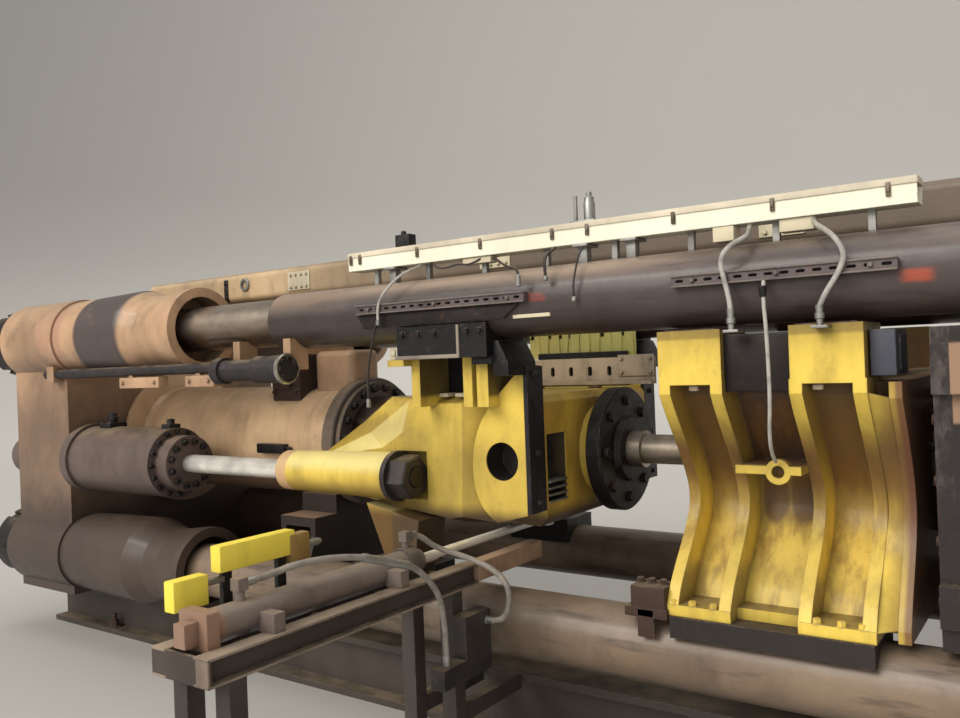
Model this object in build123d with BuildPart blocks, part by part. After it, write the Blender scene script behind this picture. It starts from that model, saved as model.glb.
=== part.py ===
from build123d import *
import os

os.makedirs("parts", exist_ok=True)

# Shared layout. X runs along the press from the ram end to the die end, Z is up, the floor is at zero.
axis_height = 1900
tie_half_y = 1040
tie_half_z = 1040
tie_rod_radius = 190
sleeve_radius = 220
fit = 1
slide_gap = 6
bearing_gap = 0.4
rod_gap = 0.3

upper_z = axis_height + tie_half_z
lower_z = axis_height - tie_half_z
tie_spots = [(tie_half_y, upper_z), (-tie_half_y, upper_z), (tie_half_y, lower_z), (-tie_half_y, lower_z)]

# Platens
rear_platen_front = -4580
platen_thickness = 960
rear_platen_back = rear_platen_front - platen_thickness
front_platen_back = 3560
front_platen_front = front_platen_back + platen_thickness + 180
platen_half_width = 1270
platen_half_height = 1330
platen_corner = 160
corner_boss_radius = 385
platen_foot_z = 470
band_length = 1040
band_root_radius = 365
band_end_radius = 392
collar_length = 760
collar_waist_radius = 322
collar_rim_radius = 362
collar_mouth_radius = 282
collar_mouth_depth = 240
band_front = rear_platen_front + band_length
collar_front = band_front + collar_length

# Tie rods
nut_length = 330
tie_nut_radius = 335
tie_back = rear_platen_back - nut_length - 60
tie_front = front_platen_front + nut_length + 90
sleeve_back = -1700
sleeve_front = front_platen_back

# Main cylinder
main_radius = 500
main_flange_radius = main_radius + 190
main_flange_length = 85
main_bore_radius = main_radius - 88
main_back = rear_platen_back - 240
main_front = -1890
gland_radius = main_radius + 65
gland_front = -1752
gland_face_radius = main_radius + 28
gland_face_front = -1704
ram_radius = main_bore_radius - 12
ram_back = -3300

# Side cylinders
side_y = 1040
side_z = axis_height - 130
side_barrel_radius = 312
side_root_radius = 338
side_barrel_front = -3200
side_gland_radius = 246
side_gland_front = -3030
side_rod_radius = 79
side_rod_back = -4300
side_tail_radius = 200
side_tail_back = rear_platen_back - 210

# Crosshead
boss_back_radius = 154
boss_front_radius = 172
boss_back = -1751
boss_front = -640
washer_radius = 183
washer_length = 40
nut_front = -450
nut_across_flats = 276
rod_end_front = -438
body_back = -820
body_front = 480
body_half_width = 800
body_top = axis_height + 432
body_bottom = axis_height - 455
wing_face = 950
cheek_face = 1000
cheek_hole_radius = 128
cheek_hole_x = 263
cheek_front = 452
shoe_bottom = axis_height + 704
leg_bottom = lower_z + sleeve_radius + 80
stem_disc_radius = 448
stem_disc_back = 586
stem_disc_front = 706
stem_radius = 105
stem_collar_radius = 132
stem_collar_front = 850
stem_tip = 1650
bar_y = 330

# Container
container_back = 1510
container_front = 2740
container_bore_radius = 120
liner_radius = 330
liner_reach = 30
rib_thickness = 66
rib_pitch_1 = 295
rib_pitch_2 = 712
rib_pitch_3 = 1020
rib_face_y = 1250
block_top = axis_height + 800
block_bottom = axis_height + 500
container_foot = axis_height - 782

# Die end
die_frame_back = front_platen_back - 685
die_window_height = 900
exit_radius = 210
exit_flare = 420

# Bed
bed_beam_y = 760
bed_beam_width = 300
bed_web = 40
bed_flange = 50
bed_back = rear_platen_back - 60
bed_front = front_platen_front + 200
anchor_x = 4600
anchor_y = 850
anchor_radius = 24

# Bed: two long beams of I section and box members across between their webs
with BuildPart() as bed_beams:
    with BuildSketch(Plane.YZ.offset(bed_back)):
        with Locations((bed_beam_y, platen_foot_z / 2), (-bed_beam_y, platen_foot_z / 2)):
            Rectangle(bed_beam_width, platen_foot_z)
            with Locations(((bed_beam_width + bed_web) / 4, 0), (-(bed_beam_width + bed_web) / 4, 0)):
                Rectangle(
                    (bed_beam_width - bed_web) / 2,
                    platen_foot_z - 2 * bed_flange,
                    mode=Mode.SUBTRACT,
                )
    extrude(amount=bed_front - bed_back)
    with BuildSketch(Plane.XY):
        with GridLocations(2 * anchor_x, 2 * anchor_y, 2, 2):
            Circle(anchor_radius)
    extrude(amount=bed_flange, mode=Mode.SUBTRACT)
bed_beams.part.label = "bed_beams"

cross_width = 260
cross_count = 7
cross_pitch = (bed_front - bed_back - 3 * cross_width) / (cross_count - 1)
with BuildPart() as bed_cross_members:
    with BuildSketch(Plane.XY.offset(bed_flange)):
        with Locations(((bed_front + bed_back) / 2, 0)):
            with GridLocations(cross_pitch, 1, cross_count, 1):
                Rectangle(cross_width, 2 * bed_beam_y - bed_web)
    extrude(amount=platen_foot_z - 2 * bed_flange)
bed_cross_members.part.label = "bed_cross_members"

# Rear platen: a slab with a long round boss and a waisted collar where each tie rod comes out
with BuildPart() as rear_platen:
    with BuildSketch(Plane.YZ.offset(rear_platen_back)):
        with Locations((0, axis_height)):
            RectangleRounded(2 * platen_half_width, 2 * platen_half_height, platen_corner)
        with Locations(*tie_spots):
            Circle(corner_boss_radius)
        with Locations((0, platen_foot_z + 120)):
            Rectangle(2 * platen_half_width, 240)
    extrude(amount=platen_thickness)
    for spot_z in (upper_z, lower_z):
        with BuildSketch(Plane.XZ.offset(tie_half_y)):
            with BuildLine():
                Polyline(
                    (rear_platen_front, spot_z),
                    (rear_platen_front, spot_z + band_root_radius),
                    (band_front, spot_z + band_end_radius),
                    (band_front + 0.29 * collar_length, spot_z + collar_waist_radius + 6),
                    (band_front + 0.53 * collar_length, spot_z + collar_waist_radius),
                    (collar_front - 70, spot_z + collar_rim_radius),
                    (collar_front, spot_z + collar_rim_radius),
                    (collar_front, spot_z),
                    close=True,
                )
            make_face()
        revolve(axis=Axis((0, -tie_half_y, spot_z), (1, 0, 0)))
    mirror(about=Plane.XZ)
    with BuildSketch(Plane.YZ.offset(collar_front)):
        with Locations(*tie_spots):
            Circle(collar_mouth_radius)
    extrude(amount=-collar_mouth_depth, mode=Mode.SUBTRACT)
    with BuildSketch(Plane.YZ.offset(rear_platen_back)):
        with Locations(*tie_spots):
            Circle(tie_rod_radius + fit)
        with Locations((side_y, side_z), (-side_y, side_z)):
            Circle(side_tail_radius + fit)
        with Locations((0, axis_height)):
            Circle(main_radius + fit)
    extrude(amount=collar_front - rear_platen_back, mode=Mode.SUBTRACT)
rear_platen.part.label = "rear_platen"

# Front platen: the same slab and bosses with a wide mouth for the product
with BuildPart() as front_platen:
    with BuildSketch(Plane.YZ.offset(front_platen_back)):
        with Locations((0, axis_height)):
            RectangleRounded(2 * platen_half_width, 2 * platen_half_height, platen_corner)
        with Locations(*tie_spots):
            Circle(corner_boss_radius)
        with Locations((0, platen_foot_z + 120)):
            Rectangle(2 * platen_half_width, 240)
        with Locations(*tie_spots):
            Circle(tie_rod_radius + fit, mode=Mode.SUBTRACT)
        with Locations((0, axis_height)):
            Circle(exit_radius, mode=Mode.SUBTRACT)
    extrude(amount=front_platen_front - front_platen_back)
    with BuildSketch(Plane.XZ):
        with BuildLine():
            Polyline(
                (front_platen_back + 420, axis_height),
                (front_platen_back + 420, axis_height + exit_radius),
                (front_platen_front, axis_height + exit_flare),
                (front_platen_front, axis_height),
                close=True,
            )
        make_face()
    revolve(axis=Axis((0, 0, axis_height), (1, 0, 0)), mode=Mode.SUBTRACT)
front_platen.part.label = "front_platen"

# Four tie rods
with BuildPart() as tie_rods:
    with BuildSketch(Plane.YZ.offset(tie_back)):
        with Locations(*tie_spots):
            Circle(tie_rod_radius)
    extrude(amount=tie_front - tie_back)
    chamfer(tie_rods.edges().filter_by(GeomType.CIRCLE), 20)
tie_rods.part.label = "tie_rods"

# Sleeves over the tie rods between the ram end and the front platen
with BuildPart() as upper_sleeves:
    with BuildSketch(Plane.YZ.offset(sleeve_back)):
        with Locations(*tie_spots[:2]):
            Circle(sleeve_radius)
            Circle(tie_rod_radius, mode=Mode.SUBTRACT)
    extrude(amount=sleeve_front - sleeve_back)
upper_sleeves.part.label = "upper_sleeves"

lower_sleeve_back = collar_front - collar_mouth_depth
with BuildPart() as lower_sleeves:
    with BuildSketch(Plane.YZ.offset(lower_sleeve_back)):
        with Locations(*tie_spots[2:]):
            Circle(sleeve_radius)
            Circle(tie_rod_radius, mode=Mode.SUBTRACT)
    extrude(amount=sleeve_front - lower_sleeve_back)
lower_sleeves.part.label = "lower_sleeves"

# Round nuts at the rear and front ends of the tie rods, with slots for a spanner
with BuildPart() as rear_nuts:
    with BuildSketch(Plane.YZ.offset(rear_platen_back)):
        with Locations(*tie_spots):
            Circle(tie_nut_radius)
            Circle(tie_rod_radius, mode=Mode.SUBTRACT)
            with PolarLocations(tie_nut_radius, 6):
                Rectangle(60, 70, mode=Mode.SUBTRACT)
    extrude(amount=-nut_length)
rear_nuts.part.label = "rear_nuts"

with BuildPart() as front_nuts:
    with BuildSketch(Plane.YZ.offset(front_platen_front)):
        with Locations(*tie_spots):
            Circle(tie_nut_radius)
            Circle(tie_rod_radius, mode=Mode.SUBTRACT)
            with PolarLocations(tie_nut_radius, 6):
                Rectangle(60, 70, mode=Mode.SUBTRACT)
    extrude(amount=nut_length)
front_nuts.part.label = "front_nuts"

# Main cylinder: a thick barrel with a bolted flange at the platen face and a closed tail
with BuildPart() as main_cylinder:
    with BuildSketch(Plane.XZ):
        with BuildLine():
            Polyline(
                (main_back, axis_height),
                (main_back, axis_height + main_radius - 40),
                (main_back + 60, axis_height + main_radius),
                (rear_platen_front, axis_height + main_radius),
                (rear_platen_front, axis_height + main_flange_radius),
                (rear_platen_front + main_flange_length, axis_height + main_flange_radius),
                (rear_platen_front + main_flange_length, axis_height + main_radius + 30),
                (rear_platen_front + main_flange_length + 40, axis_height + main_radius),
                (main_front, axis_height + main_radius),
                (main_front, axis_height + main_bore_radius),
                (main_back + 250, axis_height + main_bore_radius),
                (main_back + 250, axis_height),
                close=True,
            )
        make_face()
    revolve(axis=Axis((0, 0, axis_height), (1, 0, 0)))
main_cylinder.part.label = "main_cylinder"

# Saddle that carries the front of the main cylinder on the bed
saddle_back = -2330
saddle_length = 420
saddle_half_width = 640
saddle_top = axis_height - main_radius - 100
with BuildPart() as cylinder_saddle:
    with BuildSketch(Plane.YZ.offset(saddle_back)):
        with BuildLine():
            Polyline(
                (-saddle_half_width - 260, platen_foot_z),
                (-saddle_half_width, saddle_top - 160),
                (-saddle_half_width, saddle_top),
                (saddle_half_width, saddle_top),
                (saddle_half_width, saddle_top - 160),
                (saddle_half_width + 260, platen_foot_z),
                close=True,
            )
        make_face()
        with Locations((0, axis_height - main_radius - 40)):
            Rectangle(760, 200)
        with Locations((0, axis_height)):
            Circle(main_radius, mode=Mode.SUBTRACT)
    extrude(amount=saddle_length)
    with BuildSketch(Plane.XZ.offset(saddle_half_width + 300)):
        with Locations((saddle_back + saddle_length / 2, (platen_foot_z + saddle_top) / 2)):
            Rectangle(saddle_length - 120, saddle_top - platen_foot_z - 160)
    extrude(amount=-2 * (saddle_half_width + 300), mode=Mode.SUBTRACT)
cylinder_saddle.part.label = "cylinder_saddle"

with BuildPart() as cylinder_gland:
    with BuildSketch(Plane.YZ.offset(main_front)):
        with Locations((0, axis_height)):
            Circle(gland_radius)
    extrude(amount=gland_front - main_front)
    with BuildSketch(Plane.YZ.offset(gland_front)):
        with Locations((0, axis_height)):
            Circle(gland_face_radius)
    extrude(amount=gland_face_front - gland_front)
    with BuildSketch(Plane.YZ.offset(main_front)):
        with Locations((0, axis_height)):
            Circle(ram_radius + rod_gap)
    extrude(amount=gland_face_front - main_front, mode=Mode.SUBTRACT)
    chamfer(cylinder_gland.edges().filter_by(GeomType.CIRCLE).group_by(SortBy.RADIUS)[-1], 12)
cylinder_gland.part.label = "cylinder_gland"

# Prefill valve block on top of the main cylinder, seated on the barrel
valve_length = 500
valve_back = main_front + 60 - valve_length
with BuildPart() as prefill_valve:
    with BuildSketch(Plane.XY.offset(axis_height + 300)):
        with Locations((valve_back + valve_length / 2, -10)):
            RectangleRounded(valve_length, 380, 90)
    extrude(amount=520)
    fillet(prefill_valve.faces().sort_by(Axis.Z)[-1].edges(), 55)
    with BuildSketch(Plane.YZ.offset(valve_back - 50)):
        with Locations((0, axis_height)):
            Circle(main_radius)
    extrude(amount=main_front - valve_back + 50, mode=Mode.SUBTRACT)
    with BuildSketch(Plane.YZ.offset(main_front)):
        with Locations((0, axis_height)):
            Circle(gland_radius)
    extrude(amount=200, mode=Mode.SUBTRACT)
prefill_valve.part.label = "prefill_valve"

# Pilot cylinder under the near top tie rod, with its pipe along the rear platen boss
pilot_y = -platen_half_width - 48
pilot_z = axis_height + 672
pilot_radius = 106
pilot_back = -2230
pilot_front = -1425
pilot_pipe_radius = 44
pilot_pipe_z = axis_height + 700
pilot_pipe_back = rear_platen_front - 260
with BuildPart() as pilot_cylinder:
    with BuildSketch(Plane.YZ.offset(pilot_back)):
        with Locations((pilot_y, pilot_z)):
            Circle(pilot_radius - 22)
    extrude(amount=pilot_front - pilot_back)
    with BuildSketch(Plane.YZ.offset(pilot_back)):
        with Locations((pilot_y, pilot_z)):
            Circle(pilot_radius)
    extrude(amount=90)
    with BuildSketch(Plane.YZ.offset(pilot_front - 330)):
        with Locations((pilot_y, pilot_z)):
            Circle(pilot_radius)
    extrude(amount=330)
    with BuildSketch(Plane.YZ.offset(pilot_pipe_back)):
        with Locations((pilot_y, pilot_pipe_z)):
            Circle(pilot_pipe_radius)
    extrude(amount=pilot_back - pilot_pipe_back)
pilot_cylinder.part.label = "pilot_cylinder"

# Clips that hang the pilot cylinder and its pipe on the tie rod, its sleeve and the platen
with BuildPart() as pilot_clips:
    with BuildSketch(Plane.YZ.offset(pilot_back + 110)):
        with Locations((-tie_half_y - 130, pilot_z + 110)):
            Rectangle(180, 240)
        with Locations((pilot_y, pilot_z)):
            Circle(pilot_radius - 22, mode=Mode.SUBTRACT)
        with Locations((-tie_half_y, upper_z)):
            Circle(tie_rod_radius, mode=Mode.SUBTRACT)
    extrude(amount=80)
    with BuildSketch(Plane.YZ.offset(pilot_front - 110)):
        with Locations((-tie_half_y - 130, pilot_z + 110)):
            Rectangle(180, 240)
        with Locations((pilot_y, pilot_z)):
            Circle(pilot_radius, mode=Mode.SUBTRACT)
        with Locations((-tie_half_y, upper_z)):
            Circle(sleeve_radius, mode=Mode.SUBTRACT)
    extrude(amount=80)
    with BuildSketch(Plane.YZ.offset(rear_platen_front - 180)):
        with Locations((-platen_half_width - 50, pilot_pipe_z)):
            Rectangle(100, 150)
        with Locations((pilot_y, pilot_pipe_z)):
            Circle(pilot_pipe_radius, mode=Mode.SUBTRACT)
        with Locations((-tie_half_y, upper_z)):
            Circle(corner_boss_radius, mode=Mode.SUBTRACT)
    extrude(amount=120)
pilot_clips.part.label = "pilot_clips"

# Side cylinders with bolted glands and a tail through the platen
side_spots = [(side_y, side_z), (-side_y, side_z)]
with BuildPart() as side_cylinders:
    with BuildSketch(Plane.YZ.offset(rear_platen_front)):
        with Locations(*side_spots):
            Circle(side_root_radius)
    extrude(amount=110)
    with BuildSketch(Plane.YZ.offset(rear_platen_front)):
        with Locations(*side_spots):
            Circle(side_barrel_radius)
    extrude(amount=side_barrel_front - rear_platen_front)
    with BuildSketch(Plane.YZ.offset(side_barrel_front)):
        with Locations(*side_spots):
            Circle(side_gland_radius)
    extrude(amount=side_gland_front - side_barrel_front)
    with BuildSketch(Plane.YZ.offset(rear_platen_front)):
        with Locations(*side_spots):
            Circle(side_tail_radius)
    extrude(amount=side_tail_back - rear_platen_front)
    with BuildSketch(Plane.YZ.offset(side_tail_back + 60)):
        with Locations(*side_spots):
            Circle(side_rod_radius + rod_gap)
    extrude(amount=side_gland_front - side_tail_back, mode=Mode.SUBTRACT)
side_cylinders.part.label = "side_cylinders"

# Main ram
with BuildPart() as main_ram:
    with BuildSketch(Plane.YZ.offset(ram_back)):
        with Locations((0, axis_height)):
            Circle(ram_radius)
    extrude(amount=body_back - ram_back)
    chamfer(main_ram.edges().group_by(Axis.X)[0], 25)
main_ram.part.label = "main_ram"

# Side rods with the ends that come out of the nuts
with BuildPart() as side_rods:
    with BuildSketch(Plane.YZ.offset(side_rod_back)):
        with Locations(*side_spots):
            Circle(side_rod_radius)
    extrude(amount=rod_end_front - side_rod_back)
    chamfer(side_rods.edges().filter_by(GeomType.CIRCLE), 8)
side_rods.part.label = "side_rods"

with BuildPart() as side_rod_nuts:
    with BuildSketch(Plane.YZ.offset(boss_front)):
        with Locations(*side_spots):
            Circle(washer_radius)
            Circle(side_rod_radius, mode=Mode.SUBTRACT)
    extrude(amount=washer_length)
    with BuildSketch(Plane.YZ.offset(boss_front + washer_length)):
        with Locations(*side_spots):
            RegularPolygon(nut_across_flats / 2, 6, major_radius=False, rotation=12)
            Circle(side_rod_radius, mode=Mode.SUBTRACT)
    extrude(amount=nut_front - boss_front - washer_length)
    chamfer(side_rod_nuts.faces().sort_by(Axis.X)[-2:].edges().filter_by(GeomType.LINE), 12)
side_rod_nuts.part.label = "side_rod_nuts"

# Crosshead casting: a deep body, tapered wings to the side bosses, round cheeks, ribs up and legs down
with BuildPart() as crosshead:
    with BuildSketch(Plane.XZ.offset(-body_half_width)):
        with BuildLine():
            Polyline(
                (body_back, body_top - 90),
                (body_back + 110, body_top),
                (body_front - 40, body_top),
                (body_front, body_top - 50),
                (body_front, body_bottom + 60),
                (body_front - 60, body_bottom),
                (body_back + 150, body_bottom + 40),
                (body_back, body_bottom + 130),
                close=True,
            )
        make_face()
    extrude(amount=2 * body_half_width)
    # The wing is wide at the body and narrower at its face, which leaves the sloping ridge above the boss
    with BuildSketch(Plane.XZ.offset(body_half_width)):
        with BuildLine():
            Polyline(
                (boss_back + 150, side_z + 110),
                (body_back - 346, side_z + 360),
                (body_back - 40, body_top),
                (60, body_top),
                (60, body_bottom),
                (-167, body_bottom - 14),
                (body_back - 47, side_z - 235),
                (boss_back + 150, side_z - 120),
                close=True,
            )
        make_face()
    with BuildSketch(Plane.XZ.offset(wing_face)):
        with BuildLine():
            Polyline(
                (boss_back + 300, side_z + 100),
                (body_back - 16, side_z + 190),
                (body_back + 547, body_top - 45),
                (-90, body_top - 45),
                (-120, body_bottom + 50),
                (-230, body_bottom + 30),
                (body_back - 30, side_z - 220),
                (boss_back + 300, side_z - 110),
                close=True,
            )
        make_face()
    loft(ruled=True)
    # Side boss, a little wider at the nut
    with BuildSketch(Plane.XZ.offset(side_y)):
        with BuildLine():
            Polyline(
                (boss_back, side_z),
                (boss_back, side_z + boss_back_radius),
                (boss_front, side_z + boss_front_radius),
                (boss_front, side_z),
                close=True,
            )
        make_face()
    revolve(axis=Axis((0, -side_y, side_z), (1, 0, 0)))
    with BuildSketch(Plane.YZ.offset(boss_front)):
        with Locations((-side_y, side_z)):
            Circle(washer_radius + 12)
    extrude(amount=nut_front - boss_front + 30, mode=Mode.SUBTRACT)
    # Cheek with its horn and the round hole
    with BuildSketch(Plane.XZ.offset(body_half_width - 10)):
        with BuildLine():
            Polyline(
                (cheek_front, axis_height - 350),
                (cheek_front, axis_height + 634),
                (441, axis_height + 634),
            )
            Spline(
                (441, axis_height + 634),
                (326, axis_height + 517),
                (180, axis_height + 372),
                (62, axis_height + 180),
                (22, axis_height - 30),
                (62, axis_height - 262),
                (213, axis_height - 412),
            )
            Line((213, axis_height - 412), (cheek_front, axis_height - 350))
        make_face()
    extrude(amount=cheek_face - body_half_width + 10)
    with BuildSketch(Plane.XZ.offset(cheek_face)):
        with Locations((cheek_hole_x, axis_height)):
            Circle(cheek_hole_radius)
    extrude(amount=-420, mode=Mode.SUBTRACT)
    # Ribs and a bracket that carry the upper shoe
    with BuildSketch(Plane.XY.offset(body_top - 60)):
        with Locations((-350, -960), (95, -960)):
            Rectangle(74, 330)
        with Locations((215, -960)):
            Rectangle(92, 330)
    extrude(amount=shoe_bottom - body_top + 60)
    with BuildSketch(Plane.XY.offset(shoe_bottom - 46)):
        with Locations((-460, -1120)):
            Rectangle(150, 170)
        with Locations((-400, -960)):
            Rectangle(90, 330)
    extrude(amount=46)
    # Tapered leg down to the lower shoe
    with BuildSketch(Plane.XZ.offset(body_half_width - 10)):
        with BuildLine():
            Polyline(
                (-880, axis_height - 330),
                (-392, axis_height - 430),
                (-440, leg_bottom),
                (-700, leg_bottom),
                close=True,
            )
        make_face()
    extrude(amount=310)
    mirror(about=Plane.XZ)
    with BuildSketch(Plane.YZ.offset(body_front)):
        with Locations((0, axis_height)):
            Circle(330)
    extrude(amount=stem_disc_back - body_front)
    # Recesses in the front face, one on each side of the disc
    with BuildSketch(Plane.YZ.offset(body_front)):
        with Locations((-650, axis_height - 60), (650, axis_height - 60)):
            Rectangle(250, 450)
    extrude(amount=-130, mode=Mode.SUBTRACT)
    with BuildSketch(Plane.YZ.offset(boss_back - 5)):
        with Locations(*side_spots):
            Circle(side_rod_radius)
    extrude(amount=boss_front - boss_back + 10, mode=Mode.SUBTRACT)
crosshead.part.label = "crosshead"

# Dark wear plates on the front edge of the cheeks
with BuildPart() as cheek_plates:
    with BuildSketch(Plane.YZ.offset(cheek_front)):
        with Locations((-cheek_face + 100, axis_height + 145), (cheek_face - 100, axis_height + 145)):
            Rectangle(196, 970)
    extrude(amount=30)
cheek_plates.part.label = "cheek_plates"

# Guide shoes that hold the sleeves
shoe_back = -395
shoe_front = 350
with BuildPart() as upper_shoes:
    with BuildSketch(Plane.YZ.offset(shoe_back)):
        with Locations((-tie_half_y, shoe_bottom + 110), (tie_half_y, shoe_bottom + 110)):
            Rectangle(440, 220)
        with Locations(*tie_spots[:2]):
            Circle(sleeve_radius + slide_gap, mode=Mode.SUBTRACT)
    extrude(amount=shoe_front - shoe_back)
upper_shoes.part.label = "upper_shoes"

with BuildPart() as lower_shoes:
    with BuildSketch(Plane.YZ.offset(-900)):
        with Locations((-tie_half_y, leg_bottom - 100), (tie_half_y, leg_bottom - 100)):
            Rectangle(440, 200)
        with Locations(*tie_spots[2:]):
            Circle(sleeve_radius + bearing_gap, mode=Mode.SUBTRACT)
    extrude(amount=600)
lower_shoes.part.label = "lower_shoes"

# Stem holder disc and the stem
with BuildPart() as stem_disc:
    with BuildSketch(Plane.YZ.offset(stem_disc_back)):
        with Locations((0, axis_height)):
            Circle(stem_disc_radius)
    extrude(amount=stem_disc_front - stem_disc_back)
    chamfer(stem_disc.edges().filter_by(GeomType.CIRCLE), 14)
    with BuildSketch(Plane.YZ.offset(stem_disc_front)):
        with Locations((0, axis_height)):
            Circle(240)
    extrude(amount=40, taper=25)
    with BuildSketch(Plane.YZ.offset(stem_disc_front)):
        with Locations((0, axis_height)):
            with PolarLocations(350, 8):
                Circle(38)
    extrude(amount=26)
stem_disc.part.label = "stem_disc"

with BuildPart() as stem:
    with BuildSketch(Plane.YZ.offset(stem_disc_front + 40)):
        with Locations((0, axis_height)):
            Circle(stem_collar_radius)
    extrude(amount=stem_collar_front - stem_disc_front - 40)
    with BuildSketch(Plane.YZ.offset(stem_collar_front)):
        with Locations((0, axis_height)):
            Circle(stem_radius)
    extrude(amount=stem_tip - stem_collar_front)
    chamfer(stem.edges().group_by(Axis.X)[-1], 12)
stem.part.label = "stem"

# Slotted angle bar that stands on the crosshead beside the stem
bar_back = -345
bar_front = 800
bar_bottom = body_top + 28
bar_height = 208
bar_slots = 6
bar_slot_pitch = 170
with BuildPart() as slotted_bar:
    with BuildSketch(Plane.XZ.offset(-bar_y)):
        with Locations(((bar_back + bar_front) / 2, bar_bottom + bar_height / 2)):
            Rectangle(bar_front - bar_back, bar_height)
        for slot in range(bar_slots):
            with Locations((bar_back + 85 + slot * bar_slot_pitch, bar_bottom + bar_height / 2)):
                SlotOverall(76, 36, rotation=90, mode=Mode.SUBTRACT)
    extrude(amount=24)
    with BuildSketch(Plane.XY.offset(bar_bottom)):
        with Locations(((bar_back + bar_front) / 2, bar_y - 24 - 40)):
            Rectangle(bar_front - bar_back, 80)
    extrude(amount=24)
    with BuildSketch(Plane.XY.offset(body_top)):
        with Locations((bar_back + 120, bar_y - 44), (300, bar_y - 44)):
            Rectangle(90, 60)
    extrude(amount=bar_bottom - body_top)
slotted_bar.part.label = "slotted_bar"

# Container housing: four waisted ribs, shaped core, top blocks, foot plates and an end flange
with BuildPart() as container_housing:
    with BuildSketch(
        Plane.YZ.offset(container_back),
        Plane.YZ.offset(container_back + rib_pitch_1),
        Plane.YZ.offset(container_back + rib_pitch_2),
        Plane.YZ.offset(container_back + rib_pitch_3),
    ):
        with BuildLine():
            Polyline(
                (0, block_bottom + 24),
                (-rib_face_y, block_bottom + 24),
                (-rib_face_y, axis_height + 450),
            )
            Spline(
                (-rib_face_y, axis_height + 450),
                (-1100, axis_height + 240),
                (-925, axis_height),
                (-860, axis_height - 180),
                (-940, axis_height - 340),
                (-1100, axis_height - 515),
                (-rib_face_y, axis_height - 730),
            )
            Polyline(
                (-rib_face_y, axis_height - 730),
                (-rib_face_y, container_foot),
                (0, container_foot),
                (0, block_bottom + 24),
            )
        make_face()
        mirror(about=Plane.YZ)
    extrude(amount=rib_thickness)
    with BuildSketch(Plane.YZ.offset(container_back)):
        with BuildLine():
            Polyline((0, block_bottom), (-1010, block_bottom), (-1010, axis_height + 430))
            Spline(
                (-1010, axis_height + 430),
                (-860, axis_height + 220),
                (-700, axis_height - 20),
                (-640, axis_height - 180),
                (-710, axis_height - 350),
                (-870, axis_height - 530),
                (-1010, axis_height - 720),
            )
            Polyline(
                (-1010, axis_height - 720),
                (-1010, container_foot),
                (0, container_foot),
                (0, block_bottom),
            )
        make_face()
        mirror(about=Plane.YZ)
    extrude(amount=container_front - container_back)
    with BuildSketch(Plane.YZ.offset(container_front - 60)):
        with BuildLine():
            Polyline((0, block_bottom), (-1180, block_bottom), (-1180, axis_height + 420))
            Spline(
                (-1180, axis_height + 420),
                (-960, axis_height + 60),
                (-900, axis_height - 180),
                (-970, axis_height - 370),
                (-1180, axis_height - 720),
            )
            Polyline(
                (-1180, axis_height - 720),
                (-1180, container_foot),
                (0, container_foot),
                (0, block_bottom),
            )
        make_face()
        mirror(about=Plane.YZ)
    extrude(amount=60)
    block_x_1 = container_back + 180
    block_x_2 = container_back + rib_pitch_2 + 187
    with BuildSketch(Plane.XY.offset(block_bottom)):
        with Locations((block_x_1, -1040), (block_x_2, -1040), (block_x_1, 1040), (block_x_2, 1040)):
            Rectangle(360, 420)
    extrude(amount=block_top - block_bottom)
    with BuildSketch(Plane.XY.offset(container_foot)):
        with Locations((block_x_1, -1130), (block_x_2, -1130), (block_x_1, 1130), (block_x_2, 1130)):
            Rectangle(360, 240)
        with Locations((container_back + 540, -1070), (container_back + 540, 1070)):
            Rectangle(400, 140)
    extrude(amount=62)
    # Middle web with the lifting eye
    with BuildSketch(Plane.XY.offset(axis_height + 5)):
        with Locations((container_back + 536, -880), (container_back + 536, 880)):
            Rectangle(352, 400)
    extrude(amount=46)
    with BuildSketch(Plane.XZ.offset(1080)):
        with Locations((container_back + 590, axis_height + 20)):
            Circle(68)
    extrude(amount=-60)
    with BuildSketch(Plane.XZ.offset(1080)):
        with Locations((container_back + 590, axis_height + 20)):
            Circle(34)
    extrude(amount=-60, mode=Mode.SUBTRACT)
    with BuildSketch(Plane.YZ.offset(container_back)):
        with Locations((0, axis_height)):
            Circle(liner_radius)
    extrude(amount=container_front - container_back, mode=Mode.SUBTRACT)
container_housing.part.label = "container_housing"

with BuildPart() as container_liner:
    with BuildSketch(Plane.YZ.offset(container_back - liner_reach)):
        with Locations((0, axis_height)):
            Circle(liner_radius)
            Circle(container_bore_radius, mode=Mode.SUBTRACT)
    extrude(amount=container_front - container_back + 2 * liner_reach)
    chamfer(container_liner.edges().filter_by(GeomType.CIRCLE), 10)
container_liner.part.label = "container_liner"

# Container guide shoes on the lower sleeves
with BuildPart() as container_shoes:
    with BuildSketch(Plane.YZ.offset(container_back + 20)):
        with Locations((-tie_half_y, container_foot - 60), (tie_half_y, container_foot - 60)):
            Rectangle(460, 120)
        with Locations(*tie_spots[2:]):
            Circle(sleeve_radius + bearing_gap, mode=Mode.SUBTRACT)
    extrude(amount=rib_pitch_3 + 40)
container_shoes.part.label = "container_shoes"

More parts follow.
